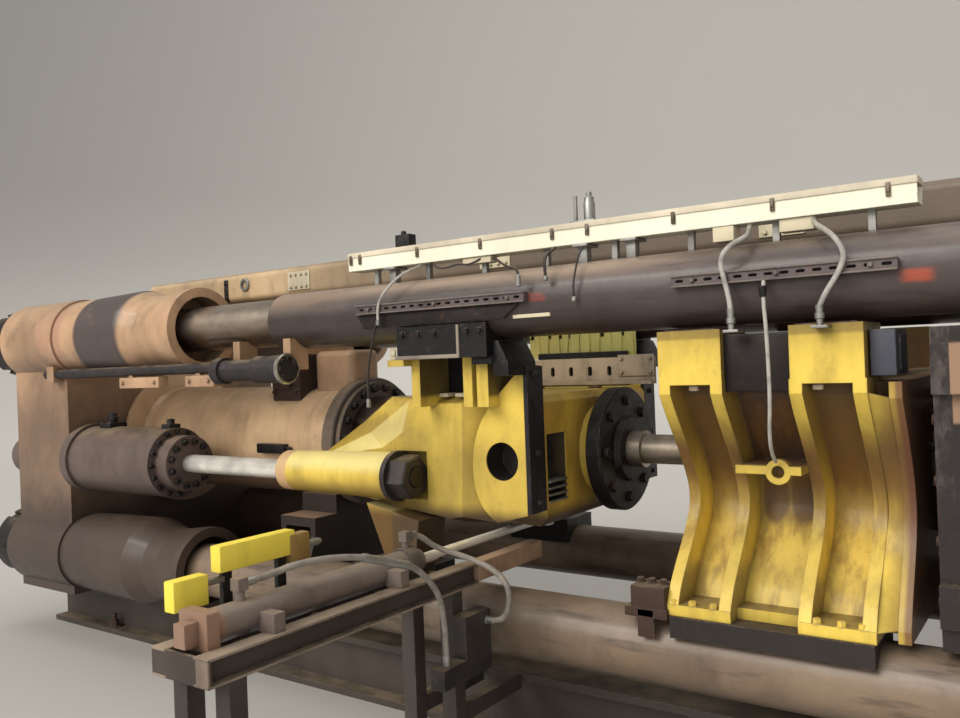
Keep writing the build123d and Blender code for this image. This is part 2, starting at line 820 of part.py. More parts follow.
# Die frame on the front platen: two columns with a window for the die slide, tied above and below
column_y = 1000
column_half = 200
frame_length = front_platen_back - die_frame_back
window_round = 40
frame_bottom = lower_z + sleeve_radius + 40
frame_top = upper_z - sleeve_radius - 60
with BuildPart() as die_frame:
    with BuildSketch(Plane.YZ.offset(die_frame_back)):
        with Locations((0, (frame_bottom + frame_top) / 2)):
            Rectangle(2 * (column_y + column_half), frame_top - frame_bottom)
            RectangleRounded(
                2 * (column_y - column_half),
                frame_top - frame_bottom - 420,
                60,
                mode=Mode.SUBTRACT,
            )
    extrude(amount=frame_length)
    with BuildSketch(Plane.XZ.offset(column_y + column_half)):
        with Locations((die_frame_back + frame_length / 2 + 40, axis_height)):
            RectangleRounded(frame_length - 250, die_window_height, window_round)
    extrude(amount=-2 * (column_y + column_half), mode=Mode.SUBTRACT)
    with BuildSketch(Plane.YZ.offset(die_frame_back)):
        with Locations((0, axis_height + 560)):
            with GridLocations(2 * (column_y + column_half + 30), 1, 2, 1):
                Rectangle(60, 240)
        with Locations((0, axis_height - 560)):
            with GridLocations(2 * (column_y + column_half + 25), 1, 2, 1):
                Rectangle(50, 200)
    extrude(amount=150)
die_frame.part.label = "die_frame"

# Die slide through the window of the frame, with the die in line with the bore
slide_width = frame_length - 250 - 2 * slide_gap - 30
slide_height = die_window_height - 2 * slide_gap
slide_back = die_frame_back + 165 + slide_gap + 15
with BuildPart() as die_slide:
    with BuildSketch(Plane.YZ.offset(slide_back)):
        with Locations((180, axis_height)):
            Rectangle(2 * column_y + 900, slide_height - 2)
        with Locations((0, axis_height)):
            Circle(exit_radius - 60, mode=Mode.SUBTRACT)
        with Locations((1100, axis_height)):
            Circle(exit_radius + 40, mode=Mode.SUBTRACT)
    extrude(amount=slide_width)
die_slide.part.label = "die_slide"

# Header along the top between the platens
header_back = rear_platen_front - 20
header_front = front_platen_back + 540
header_bottom = axis_height + platen_half_height
header_height = 275
with BuildPart() as header_beam:
    with BuildSketch(Plane.YZ.offset(header_back)):
        with Locations((0, header_bottom + header_height / 2)):
            RectangleRounded(620, header_height, 0.22 * header_height)
    extrude(amount=header_front - header_back)
header_beam.part.label = "header_beam"

# Wireway tray above the near upper sleeve and its legs
tray_back = -960
tray_front = 2830
tray_bottom = axis_height + 1368
tray_height = 130
tray_y = -tie_half_y
tray_wall = 6
with BuildPart() as wireway:
    with BuildSketch(Plane.YZ.offset(tray_back)):
        with Locations((tray_y, tray_bottom + tray_height / 2)):
            Rectangle(150, tray_height)
            Rectangle(150 - 2 * tray_wall, tray_height - 2 * tray_wall, mode=Mode.SUBTRACT)
    extrude(amount=tray_front - tray_back)
wireway.part.label = "wireway"

leg_count = 8
leg_pitch = (tray_front - tray_back - 440) / (leg_count - 1)
with BuildPart() as wireway_legs:
    with BuildSketch(Plane.XY.offset(upper_z + sleeve_radius)):
        with Locations(((tray_front + tray_back) / 2, tray_y)):
            with GridLocations(leg_pitch, 1, leg_count, 1):
                Rectangle(36, 36)
    extrude(amount=tray_bottom - upper_z - sleeve_radius)
wireway_legs.part.label = "wireway_legs"

# Slotted rails on the near face of the near upper sleeve
rail_z = axis_height + 1062
rail_height = 56
rail_back_x = -28
rail_back_length = 1397
rail_front_x = 2194
rail_front_length = 1134
rail_y = tie_half_y + sleeve_radius
with BuildPart() as strut_rails:
    with BuildSketch(Plane.XZ.offset(rail_y)):
        with Locations((rail_back_x, rail_z), (rail_front_x, rail_z + 6)):
            RectangleRounded(rail_front_length, rail_height, 6)
        with Locations((rail_back_x, rail_z)):
            Rectangle(rail_back_length, rail_height)
        for slot in range(18):
            with Locations((rail_back_x + (slot - 8.5) * 76, rail_z)):
                SlotOverall(44, 16, mode=Mode.SUBTRACT)
        for slot in range(14):
            with Locations((rail_front_x + (slot - 6.5) * 80, rail_z + 6)):
                SlotOverall(46, 16, mode=Mode.SUBTRACT)
    extrude(amount=42)
strut_rails.part.label = "strut_rails"

# Billet transfer cylinder across the press on its own table
loader_x = 100
loader_z = axis_height - 520
loader_barrel_back = -3260
loader_barrel_front = -1770
loader_barrel_length = loader_barrel_front - loader_barrel_back
loader_barrel_radius = 84
loader_rod_radius = 28
loader_rod_back = loader_barrel_back + 960
loader_rod_front = -180
loader_beam_y_back = loader_barrel_back - 150
loader_beam_y_front = -1370
loader_beam_length = loader_beam_y_front - loader_beam_y_back
loader_table_z = loader_z - 72
loader_channel_height = 130
loader_channel_width = 100
loader_channel_x = 155
with BuildPart() as loader_table:
    with BuildSketch(Plane.XZ.offset(-loader_beam_y_back)):
        with Locations(
            (loader_x - loader_channel_x, loader_table_z - loader_channel_height / 2),
            (loader_x + loader_channel_x, loader_table_z - loader_channel_height / 2),
        ):
            Rectangle(loader_channel_width, loader_channel_height)
            with Locations((-32, 0), (32, 0)):
                Rectangle(36, loader_channel_height - 28, mode=Mode.SUBTRACT)
    extrude(amount=-loader_beam_length)
    # End plate and cross bars between the beams, below the barrel
    with BuildSketch(Plane.XY.offset(loader_table_z - loader_channel_height)):
        with Locations((loader_x, loader_beam_y_back + 10)):
            Rectangle(2 * loader_channel_x + loader_channel_width, 20)
    extrude(amount=loader_channel_height)
    with BuildSketch(Plane.XY.offset(loader_table_z - loader_channel_height + 14)):
        for bar_spot in (0.2, 0.45, 0.7, 0.95):
            with Locations((loader_x, loader_beam_y_back + bar_spot * loader_beam_length)):
                Rectangle(2 * loader_channel_x - 20, 50)
    extrude(amount=50)
loader_table.part.label = "loader_table"

post_back_y = loader_beam_y_back + 160
post_front_y = -1600
stay_z = platen_foot_z - 100
with BuildPart() as loader_posts:
    with BuildSketch(Plane.XY):
        with Locations((loader_x, (post_back_y + post_front_y) / 2)):
            with GridLocations(2 * loader_channel_x, post_front_y - post_back_y, 2, 2):
                Rectangle(100, 100)
    extrude(amount=loader_table_z - loader_channel_height)
    stay_front = -bed_beam_y - bed_beam_width / 2
    with BuildSketch(Plane.XY.offset(stay_z)):
        with Locations((loader_x, (post_front_y + 49 + stay_front) / 2)):
            with GridLocations(2 * loader_channel_x, 1, 2, 1):
                Rectangle(80, stay_front - post_front_y - 49)
    extrude(amount=100)
loader_posts.part.label = "loader_posts"

port_block = 60
port_radius = 24
port_back_y = loader_barrel_back + 200
port_front_y = loader_barrel_front - 50
port_z = loader_z + loader_barrel_radius + 76
with BuildPart() as loader_cylinder:
    with BuildSketch(Plane.XZ.offset(-loader_barrel_back)):
        with Locations((loader_x, loader_z)):
            Circle(loader_barrel_radius)
    extrude(amount=loader_barrel_back - loader_barrel_front)
    with BuildSketch(Plane.XZ.offset(-loader_barrel_back)):
        with Locations((loader_x, loader_z + 6)):
            RectangleRounded(204, 180, 12)
    extrude(amount=70)
    with BuildSketch(Plane.XZ.offset(-loader_barrel_back + 70)):
        with Locations((loader_x, loader_z)):
            Rectangle(80, 110)
    extrude(amount=75)
    with BuildSketch(Plane.XZ.offset(-loader_barrel_front)):
        with Locations((loader_x, loader_z)):
            Circle(loader_barrel_radius - 14)
    extrude(amount=-50)
    # Saddle blocks that stand on the beams on both sides of the barrel
    with BuildSketch(Plane.XY.offset(loader_table_z)):
        with Locations((loader_x, (loader_barrel_back + loader_barrel_front) / 2)):
            with GridLocations(2 * loader_channel_x - 52, 0.62 * loader_barrel_length, 2, 2):
                Rectangle(112, 70)
    extrude(amount=96)
    # Ports with their elbow blocks on top of the barrel
    with BuildSketch(Plane.XY.offset(loader_z + loader_rod_radius + 30)):
        with Locations((loader_x, port_back_y), (loader_x, port_front_y)):
            Circle(port_radius)
    extrude(amount=loader_barrel_radius - loader_rod_radius + 20)
    with BuildSketch(Plane.XY.offset(port_z - port_block / 2)):
        with Locations((loader_x, port_back_y), (loader_x, port_front_y)):
            Rectangle(port_block, port_block)
    extrude(amount=port_block)
    with BuildSketch(Plane.XZ.offset(-loader_barrel_back - 60)):
        with Locations((loader_x, loader_z)):
            Circle(loader_rod_radius + rod_gap)
    extrude(amount=loader_barrel_back - loader_barrel_front, mode=Mode.SUBTRACT)
loader_cylinder.part.label = "loader_cylinder"

with BuildPart() as loader_rod:
    with BuildSketch(Plane.XZ.offset(-loader_rod_back)):
        with Locations((loader_x, loader_z)):
            Circle(loader_rod_radius)
    extrude(amount=loader_rod_back - loader_rod_front + 70)
    with BuildSketch(Plane.XZ.offset(-loader_rod_front + 70)):
        with Locations((loader_x, loader_z)):
            Rectangle(110, 92)
    extrude(amount=-70)
loader_rod.part.label = "loader_rod"

# Hose manifold on the front post, and the two hoses that come down to it from the ports
manifold_x = loader_x + loader_channel_x + 50
manifold_width = 100
manifold_step_z = axis_height - 1100
manifold_top = manifold_step_z + 250
manifold_y_back = post_front_y - 280
manifold_y_front = post_front_y + 200
with BuildPart() as hose_manifold:
    with BuildSketch(Plane.YZ.offset(manifold_x)):
        with BuildLine():
            Polyline(
                (manifold_y_back, manifold_step_z - 120),
                (manifold_y_back, manifold_step_z),
                (post_front_y - 60, manifold_step_z),
                (post_front_y - 60, manifold_top),
                (manifold_y_front, manifold_top),
                (manifold_y_front, manifold_step_z - 120),
                close=True,
            )
        make_face()
    extrude(amount=manifold_width)
hose_manifold.part.label = "hose_manifold"

hose_radius = 18
hose_bend = 90
hose_end_x = manifold_x + manifold_width / 2
hose_end_z = manifold_top - 65
hose_starts_y = port_block / 2
hose_back_route = [
    (loader_x, port_back_y + hose_starts_y, port_z),
    (loader_x, port_back_y + 170, port_z),
    (loader_x + 75, port_back_y + 320, port_z + 45),
    (loader_x + 140, port_back_y + 620, port_z + 25),
    (loader_x + 228, port_back_y + 980, port_z - 75),
    (hose_end_x, port_back_y + 1150, port_z - 215),
    (hose_end_x, manifold_y_back + 90, port_z - 400),
    (hose_end_x, manifold_y_back + 90, manifold_step_z),
]
hose_front_route = [
    (loader_x, port_front_y + hose_starts_y, port_z),
    (loader_x, port_front_y + 110, port_z),
    (loader_x + 60, port_front_y + 220, port_z - 110),
    (loader_x + 190, manifold_y_front - 90, port_z - 165),
    (loader_x + 410, manifold_y_front - 50, port_z - 245),
    (loader_x + 495, manifold_y_front - 50, port_z - 355),
    (loader_x + 470, manifold_y_front - 45, port_z - 490),
    (loader_x + 400, manifold_y_front - 40, hose_end_z),
    (manifold_x + manifold_width, manifold_y_front - 40, hose_end_z),
]
with BuildPart() as loader_hoses:
    for hose_route in (hose_back_route, hose_front_route):
        with BuildLine() as hose_line:
            FilletPolyline(*hose_route, radius=hose_bend)
        with BuildSketch(Plane(origin=hose_line.line @ 0, z_dir=hose_line.line % 0)):
            Circle(hose_radius)
        sweep()
loader_hoses.part.label = "loader_hoses"

# Switch guards that stand on the rear beam beside the barrel
guard_x = loader_x - loader_channel_x - 65
guard_face = 80
with BuildPart() as switch_guards:
    with BuildSketch(Plane.YZ.offset(guard_x - guard_face / 2)):
        with Locations((loader_barrel_back + 60, loader_z + 123)):
            Rectangle(200, 150)
        with Locations((loader_barrel_back + 490, loader_z + 245)):
            Rectangle(500, 135)
    extrude(amount=guard_face)
    with BuildSketch(Plane.XY.offset(loader_table_z)):
        with Locations((guard_x, loader_barrel_back + 60)):
            Rectangle(30, 60)
        with Locations((guard_x, loader_barrel_back + 300), (guard_x, loader_barrel_back + 660)):
            Rectangle(30, 60)
    extrude(amount=loader_z + 180 - loader_table_z)
switch_guards.part.label = "switch_guards"

# Valve manifold on top of the main cylinder
manifold_back = valve_back - 390
with BuildPart() as valve_manifold:
    with BuildSketch(Plane.XZ.offset(340)):
        with Locations((manifold_back + 180, axis_height + 560)):
            Rectangle(360, 480)
    extrude(amount=-500)
    with BuildSketch(Plane.XZ.offset(400)):
        with Locations((manifold_back + 170, axis_height + 620)):
            Rectangle(220, 240)
    extrude(amount=-60)
    with BuildSketch(Plane.YZ.offset(manifold_back)):
        with Locations((0, axis_height)):
            Circle(main_radius)
    extrude(amount=400, mode=Mode.SUBTRACT)
valve_manifold.part.label = "valve_manifold"

for piece in (
    bed_beams,
    bed_cross_members,
    rear_platen,
    front_platen,
    tie_rods,
    upper_sleeves,
    lower_sleeves,
    rear_nuts,
    front_nuts,
    main_cylinder,
    cylinder_saddle,
    cylinder_gland,
    prefill_valve,
    pilot_cylinder,
    pilot_clips,
    side_cylinders,
    main_ram,
    side_rods,
    side_rod_nuts,
    crosshead,
    cheek_plates,
    upper_shoes,
    lower_shoes,
    stem_disc,
    stem,
    slotted_bar,
    container_housing,
    container_liner,
    container_shoes,
    die_frame,
    die_slide,
    header_beam,
    wireway,
    wireway_legs,
    strut_rails,
    loader_table,
    loader_posts,
    loader_cylinder,
    loader_rod,
    hose_manifold,
    loader_hoses,
    switch_guards,
    valve_manifold,
):
    export_step(piece.part, "parts/" + piece.part.label + ".step")
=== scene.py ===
"""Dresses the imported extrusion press: finishes on its castings, and the bolts, cables, covers and fittings on it."""

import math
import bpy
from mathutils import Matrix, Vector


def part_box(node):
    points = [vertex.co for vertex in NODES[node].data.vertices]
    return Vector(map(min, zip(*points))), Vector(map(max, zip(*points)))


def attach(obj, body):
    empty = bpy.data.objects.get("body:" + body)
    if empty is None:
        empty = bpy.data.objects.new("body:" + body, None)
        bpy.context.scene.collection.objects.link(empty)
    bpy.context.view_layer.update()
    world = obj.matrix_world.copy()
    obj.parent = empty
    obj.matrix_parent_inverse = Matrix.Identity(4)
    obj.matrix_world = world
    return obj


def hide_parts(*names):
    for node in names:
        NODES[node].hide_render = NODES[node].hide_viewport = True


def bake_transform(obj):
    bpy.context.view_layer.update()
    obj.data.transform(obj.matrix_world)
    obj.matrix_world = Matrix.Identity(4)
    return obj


bl_info = {
    "name": "Extrusion press dressing",
    "version": (1, 0, 0),
    "blender": (4, 2, 0),
    "location": "3D View > Sidebar > Press",
    "description": "Finishes and small fittings for a horizontal extrusion press",
    "category": "Object",
}

import bmesh
import bpy
from mathutils import Matrix, Vector

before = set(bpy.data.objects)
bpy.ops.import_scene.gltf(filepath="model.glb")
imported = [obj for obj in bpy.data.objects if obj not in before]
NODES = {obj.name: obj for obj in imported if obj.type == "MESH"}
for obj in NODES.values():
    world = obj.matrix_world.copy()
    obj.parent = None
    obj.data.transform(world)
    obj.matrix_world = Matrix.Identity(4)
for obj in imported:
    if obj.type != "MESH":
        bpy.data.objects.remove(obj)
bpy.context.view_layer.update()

AXIS = 1.9  # height of the press axis
TIE_Y = 1.04  # tie rods and side cylinders lie this far from the axis
UPPER, LOWER = AXIS + TIE_Y, AXIS - TIE_Y
SIDE_AXIS = AXIS - 0.13
NEAR, FAR = -1, 1
ALONG, BACK, UP = Vector((1, 0, 0)), Vector((0, 1, 0)), Vector((0, 0, 1))
CHIP = 0.008  # how far chips in the paint reach in from an edge
SHARP = math.radians(32)  # edges under this angle are shaded smooth


def shade(red, green, blue):
    """A colour as read on a screen, 0 to 255, in the linear values that Blender takes."""
    return tuple(
        round(c / 12.92 if c <= 0.04045 else ((c + 0.055) / 1.055) ** 2.4, 4)
        for c in (red / 255, green / 255, blue / 255)
    )


def colour(label, words, default):
    return bpy.props.FloatVectorProperty(
        name=label, description=words, subtype="COLOR", size=3, min=0, max=1, default=default
    )


def share(label, words, default):
    return bpy.props.FloatProperty(
        name=label, description=words, subtype="FACTOR", min=0, max=1, default=default
    )


def size(label, words, default):
    return bpy.props.FloatProperty(
        name=label, description=words, subtype="DISTANCE", unit="LENGTH", min=0.001, default=default
    )


def strength(label, words, default):
    return bpy.props.FloatProperty(name=label, description=words, min=0, default=default)


class FinishSettings(bpy.types.PropertyGroup):
    tan: colour("Tan paint", "Paint of the platens and the main cylinder", shade(190, 153, 120))
    yellow: colour("Yellow paint", "Paint of the crosshead and the housing", shade(234, 202, 84))
    cream: colour("Cream paint", "Paint of the header and the tray", shade(226, 214, 184))
    grey: colour("Grey paint", "Paint of the transfer cylinder and its table", shade(104, 94, 88))
    black: colour("Dark steel", "Oiled steel of nuts, glands and shoes", shade(22, 20, 22))
    sleeve: colour("Sleeve", "Greasy paint of the tie rod sleeves", shade(74, 62, 61))
    steel: colour("Bare steel", "Turned and polished steel", shade(196, 190, 180))
    rust: colour("Rust", "Rust in chips and runs", shade(104, 62, 38))
    # This colour also paints shade into corners and onto faces that turn downwards.
    grime_and_shade: colour("Grime", "Oil and dust in corners", shade(44, 33, 26))
    dust: colour("Dust", "Dry dust on level faces", shade(172, 152, 124))
    wear: share("Wear", "How far paint is worn off edges", 0.6)
    # Sets how strong the painted shade and oil in corners are.
    dirt_and_shade: share("Dirt", "How much grime lies over the finishes", 0.6)


class HardwareSettings(bpy.types.PropertyGroup):
    gland_bolt: size("Gland bolt", "Width across flats of the bolts of the main gland", 0.056)
    anchor_nut: size("Anchor nut", "Width across flats of the foundation nuts", 0.075)


class CableSettings(bpy.types.PropertyGroup):
    conduit: size("Conduit", "Diameter of the flexible conduits", 0.027)
    wire: size("Wire", "Diameter of the thin cables", 0.012)
    hose: size("Hose", "Diameter of the transfer cylinder's hoses", 0.036)


class StageSettings(bpy.types.PropertyGroup):
    floor: colour("Floor", "Colour of the plain floor", shade(186, 184, 180))
    wall: colour("Wall", "Colour of the curved wall behind the floor", shade(170, 168, 165))
    key: strength("Key light", "Strength of the large soft light", 2.5)
    top: strength("Top light", "Strength of the light from above", 1.1)
    front: strength("Front light", "Strength of the low light from the camera's side", 1.0)
    fill: share("Fill light", "Strength of the light from all round", 0.26)


class Value:
    """A number that changes over a surface. Sums written with it add Math nodes."""

    def __init__(self, paint, socket):
        self.paint = paint
        self.socket = socket

    def math(self, operation, *values):
        return self.paint.node("Math", {"operation": operation}, dict(enumerate(values)))

    def __add__(self, other):
        return self.math("ADD", self, other)

    def __sub__(self, other):
        return self.math("SUBTRACT", self, other)

    def __rsub__(self, other):
        return self.math("SUBTRACT", other, self)

    def __mul__(self, other):
        return self.math("MULTIPLY", self, other)

    def __lt__(self, other):
        return self.math("LESS_THAN", self, other)

    def __abs__(self):
        return self.math("ABSOLUTE", self)

    __radd__ = __add__
    __rmul__ = __mul__

    def step(self, low, high):
        """0 below low and 1 above high, with a smooth change between them."""
        return self.paint.node(
            "MapRange", {"interpolation_type": "SMOOTHSTEP"}, {0: self, 1: low, 2: high}
        )

    def band(self, low, high, soft=0.01):
        """1 between low and high, 0 outside."""
        return self.step(low - soft, low + soft) * (1 - self.step(high - soft, high + soft))


class Paint:
    """A finish being made: its shader, its colour so far, and the patterns that finishes share."""

    def __init__(self, name):
        self.material = bpy.data.materials.new(name)
        self.material.use_nodes = True
        self.tree = self.material.node_tree
        self.tree.nodes.clear()
        self.shader = self.tree.nodes.new("ShaderNodeBsdfPrincipled")
        output = self.tree.nodes.new("ShaderNodeOutputMaterial")
        self.tree.links.new(self.shader.outputs[0], output.inputs[0])
        self.tint = self.rounded = None
        self.place = self.node("TexCoord", {}, {}, "Object")
        self.x, self.y, self.z = self.parts(self.place)
        self.facing = self.node("NewGeometry", {}, {}, "Normal")
        self.side_x, self.side_y, self.up = self.parts(self.facing)

    def node(self, kind, settings, inputs, output=0):
        """Adds a node: its settings first, then the values or links of its sockets."""
        made = self.tree.nodes.new("ShaderNode" + kind)
        for key, setting in settings.items():
            setattr(made, key, setting)
        for key, value in inputs.items():
            self.join(value, made.inputs[key])
        return Value(self, made.outputs[output])

    def join(self, value, socket):
        if isinstance(value, Value):
            self.tree.links.new(value.socket, socket)
        elif hasattr(value, "__len__") and socket.type == "RGBA":
            socket.default_value = (*value[:3], 1)
        else:
            socket.default_value = value

    def parts(self, vector):
        """The three numbers of a vector."""
        node = self.node("SeparateXYZ", {}, {0: vector}).socket.node
        return [Value(self, socket) for socket in node.outputs]

    def noise(self, scale, detail=3, rough=0.55, stretch=(1, 1, 1), shift=0.0):
        shifted = {0: self.place, 1: stretch, 2: (shift, shift * 0.7, shift * 1.3)}
        spot = self.node("VectorMath", {"operation": "MULTIPLY_ADD"}, shifted)
        return self.node("TexNoise", {}, {"Vector": spot, "Scale": scale, "Detail": detail, "Roughness": rough})

    def mix(self, mask, under, over):
        return self.node("Mix", {"data_type": "RGBA"}, {0: mask, 6: under, 7: over}, 2)

    def lay(self, mask, over):
        """Lays a colour over the finish where the mask is 1."""
        self.tint = self.mix(mask, self.tint, over)

    def stain(self, mask, *screen):
        """Lays a colour given as on a screen."""
        self.lay(mask, shade(*screen))

    def corners(self, reach):
        """1 in tight corners, 0 on open faces."""
        return 1 - self.node("AmbientOcclusion", {"samples": 3}, {"Distance": reach}, "AO")

    def round_edges(self, radius):
        """Shades edges as if rounded."""
        self.rounded = self.node("Bevel", {"samples": 3}, {"Radius": radius})

    def edges(self, width):
        """1 along edges, 0 on flat faces."""
        self.round_edges(width)
        turned = self.node("VectorMath", {"operation": "DOT_PRODUCT"}, {0: self.rounded, 1: self.facing}, "Value")
        return (1 - turned).step(0.004, 0.06)

    def finish(self, rough, metal=None, height=None, depth=0.002, **fixed):
        """Puts the colour, a roughness, a metal share and relief on the shader."""
        inputs = {"Base Color": self.tint, "Roughness": rough}
        if metal is not None:
            inputs["Metallic"] = metal
        if height is not None:
            relief = {"Height": height, "Distance": depth, "Strength": 1.0}
            if self.rounded:
                relief["Normal"] = self.rounded
            inputs["Normal"] = self.node("Bump", {}, relief)
        for key, value in {**inputs, **fixed}.items():
            self.join(value, self.shader.inputs[key.replace("_", " ")])
        return self.material


def worn_paint(name, base, tone=0.72, dirt_and_shade=1.0, dust=0.5, rust=0.5, rough=0.42, coat=0.0, streak=0.5, corner=0.35,
               stains=None):
    """Old paint on a casting: uneven tone, patches and runs of oil, painted shade and oil in corners, painted shade on
    faces that turn downwards, dust on level faces, chipped edges.
    """
    settings = bpy.context.scene.press_finish
    p = Paint(name)
    grime_and_shade, rusty = tuple(settings.grime_and_shade), tuple(settings.rust)
    dim = tuple(c * tone for c in base)
    bright = tuple(min(1, c * 1.12) for c in base)
    p.tint = p.mix(p.noise(0.9, 4).step(0.36, 0.66), bright, dim)
    p.lay(p.noise(4.5, 6, 0.65, (1, 1, 0.5), 3).step(0.42, 0.86) * (0.5 * dirt_and_shade), grime_and_shade)
    steep = 1 - abs(p.up).step(0.5, 0.9)
    runs = p.noise(1.0, 5, 0.6, (5, 5, 0.9), 5).step(0.46, 0.82) * steep * streak
    p.lay(runs * 0.55, grime_and_shade)
    rust_runs = p.noise(1.0, 6, 0.7, (11, 11, 1.1), 9).step(0.6, 0.74) * steep * (rust * streak)
    p.lay(rust_runs * 0.8, rusty)
    spots = p.noise(17, 5, 0.75, shift=2).step(0.6, 0.72) * p.noise(1.7, 2, shift=8).step(0.42, 0.62)
    p.lay(spots * rust * 0.7, rusty)
    dusty = p.up.step(0.55, 0.95) * p.noise(4, 5, 0.6, shift=6).step(0.25, 0.7)
    p.lay(dusty * dust, tuple(settings.dust))
    # Painted shade: faces that turn downwards are darkened.
    p.lay((0 - p.up).step(0.2, 0.95) * 0.45, grime_and_shade)
    if stains:
        stains(p)
    # Painted shade and oil in corners, found by ambient occlusion.
    corner_shade_and_grime = p.corners(corner).step(0.3, 0.85) * (settings.dirt_and_shade * dirt_and_shade)
    p.lay(corner_shade_and_grime * 0.85, grime_and_shade)
    chipped = p.edges(CHIP) * p.noise(22, 4, 0.7, shift=4).step(0.47, 0.6) * settings.wear
    p.lay(chipped * 0.85, (0.33, 0.29, 0.25))
    roughness = rough + p.noise(9, 4, shift=7) * 0.3 + dusty * (0.3 * dust) + corner_shade_and_grime * 0.2
    height = p.noise(34, 4, 0.6) * 0.5 + p.noise(5, 3) - chipped * 0.35 - spots * rust * 0.3
    return p.finish(roughness, chipped * 0.45, height, 0.004, Coat_Weight=coat, Coat_Roughness=0.2)


def machined(name, base, rough=0.25, lines=(70, 2, 2), grease=0.5, rust=0.1, stains=None, metal=0.95):
    """Turned or polished steel with a film of grease, and painted shade in its corners."""
    settings = bpy.context.scene.press_finish
    p = Paint(name)
    p.tint = p.mix(p.noise(2.2, 5, 0.6, (1, 1, 1), 1).step(0.4, 0.68), base, tuple(c * 0.6 for c in base))
    film = p.noise(1.6, 6, 0.65, (0.7, 2.4, 2.4), 4).step(0.44, 0.66) * grease
    p.lay(film * 0.7, tuple(settings.grime_and_shade))
    spots = p.noise(24, 5, 0.7, shift=6).step(0.6, 0.68) * rust
    p.lay(spots, tuple(settings.rust))
    if stains:
        stains(p)
    # Painted shade in corners, found by ambient occlusion.
    p.lay(p.corners(0.12).step(0.3, 0.9) * 0.8, tuple(settings.grime_and_shade))
    roughness = rough + film * 0.22 + p.noise(14, 3, shift=3) * 0.12 + spots * 0.3
    height = p.noise(1.0, 2, 0.6, lines, 2) + p.noise(60, 2) * 0.3
    p.round_edges(0.003)
    return p.finish(roughness, (1 - film * 0.4) * (1 - spots * 0.8) * metal, height, 0.0006)


def oiled(name, base, rough=0.35, rust=0.2, dust=0.3, stains=None, light=(0.075, 0.07, 0.075)):
    """Black steel with a painted oil sheen and worn edges."""
    settings = bpy.context.scene.press_finish
    p = Paint(name)
    p.tint = p.mix(p.noise(3, 5, 0.6).step(0.4, 0.7), base, tuple(c * 0.5 for c in base))
    # Painted sheen: lighter patches in the light colour.
    p.lay(p.noise(8, 5, 0.7, shift=2).step(0.55, 0.72) * 0.5, light)
    spots = p.noise(13, 5, 0.7, shift=5).step(0.56, 0.68) * rust
    p.lay(spots, tuple(settings.rust))
    dusty = p.up.step(0.5, 0.95) * p.noise(6, 4, shift=6).step(0.3, 0.7) * dust
    p.lay(dusty, tuple(settings.dust))
    if stains:
        stains(p)
    worn = p.edges(0.006) * p.noise(20, 3, 0.6, shift=4).step(0.4, 0.6) * settings.wear
    p.lay(worn * 0.8, (0.3, 0.28, 0.26))
    roughness = rough + p.noise(10, 4, shift=7) * 0.3 + dusty * 0.3
    return p.finish(roughness, worn * 0.6 + 0.25, p.noise(30, 4, 0.65) + spots * 0.5)


FINISHES = {}


def finishes():
    """The finishes that more than one piece wears, made once."""
    if FINISHES:
        return FINISHES
    s = bpy.context.scene.press_finish
    FINISHES.update(
        tan=worn_paint("tan_paint", tuple(s.tan), rough=0.38, coat=0.25),
        yellow=worn_paint("yellow_paint", tuple(s.yellow), rough=0.35, coat=0.2, tone=0.8),
        cream=worn_paint("cream_paint", tuple(s.cream), rust=0.25, dirt_and_shade=0.6),
        grey=worn_paint("grey_paint", tuple(s.grey), rust=0.3),
        black=oiled("dark_steel", tuple(s.black)),
        steel=machined("bright_steel", tuple(s.steel), grease=0.4),
        zinc=machined("zinc_steel", shade(176, 176, 172), rough=0.42, lines=(9, 9, 9), grease=0.3),
        latch=machined("latch_steel", shade(134, 122, 108), rough=0.5, lines=(9, 9, 9)),
        rusty=worn_paint("rusty_steel", shade(68, 46, 36), rust=0.8, rough=0.6),
        guard=worn_paint("switch_guard_paint", shade(255, 226, 84), rust=0.3, dirt_and_shade=0.1, dust=0.0, tone=0.92,
                         corner=0.03),
        dull=worn_paint("dull_guard_paint", shade(170, 136, 72), rust=0.8, dirt_and_shade=1.2),
        rubber=rubber("hose_rubber", shade(142, 134, 126)),
        conduit=rubber("grey_conduit", shade(182, 178, 172)),
        wire=rubber("dark_wire", shade(48, 42, 40)),
    )
    return FINISHES


def rubber(name, base):
    """Hose and cable cover with dust on it."""
    p = Paint(name)
    p.tint = p.mix(p.noise(12, 4).step(0.4, 0.7), base, tuple(c * 0.6 for c in base))
    dusty = p.up.step(0.2, 0.9) * p.noise(7, 4, shift=2).step(0.3, 0.7)
    p.stain(dusty * 0.5, 150, 134, 112)
    return p.finish(0.5 + p.noise(20, 3) * 0.25, None, p.noise(160, 2), 0.0008)


def axes(start, along):
    """A point, a direction, and two directions square to it."""
    along = Vector(along).normalized()
    side = along.orthogonal().normalized()
    return Vector(start), along, side, along.cross(side)


def circle(middle, side, other, radius, steps, part=1):
    """Points round a middle. part shrinks the circle."""
    return [
        middle + (side * math.cos(a) + other * math.sin(a)) * radius * part
        for a in (math.tau * i / steps for i in range(steps))
    ]


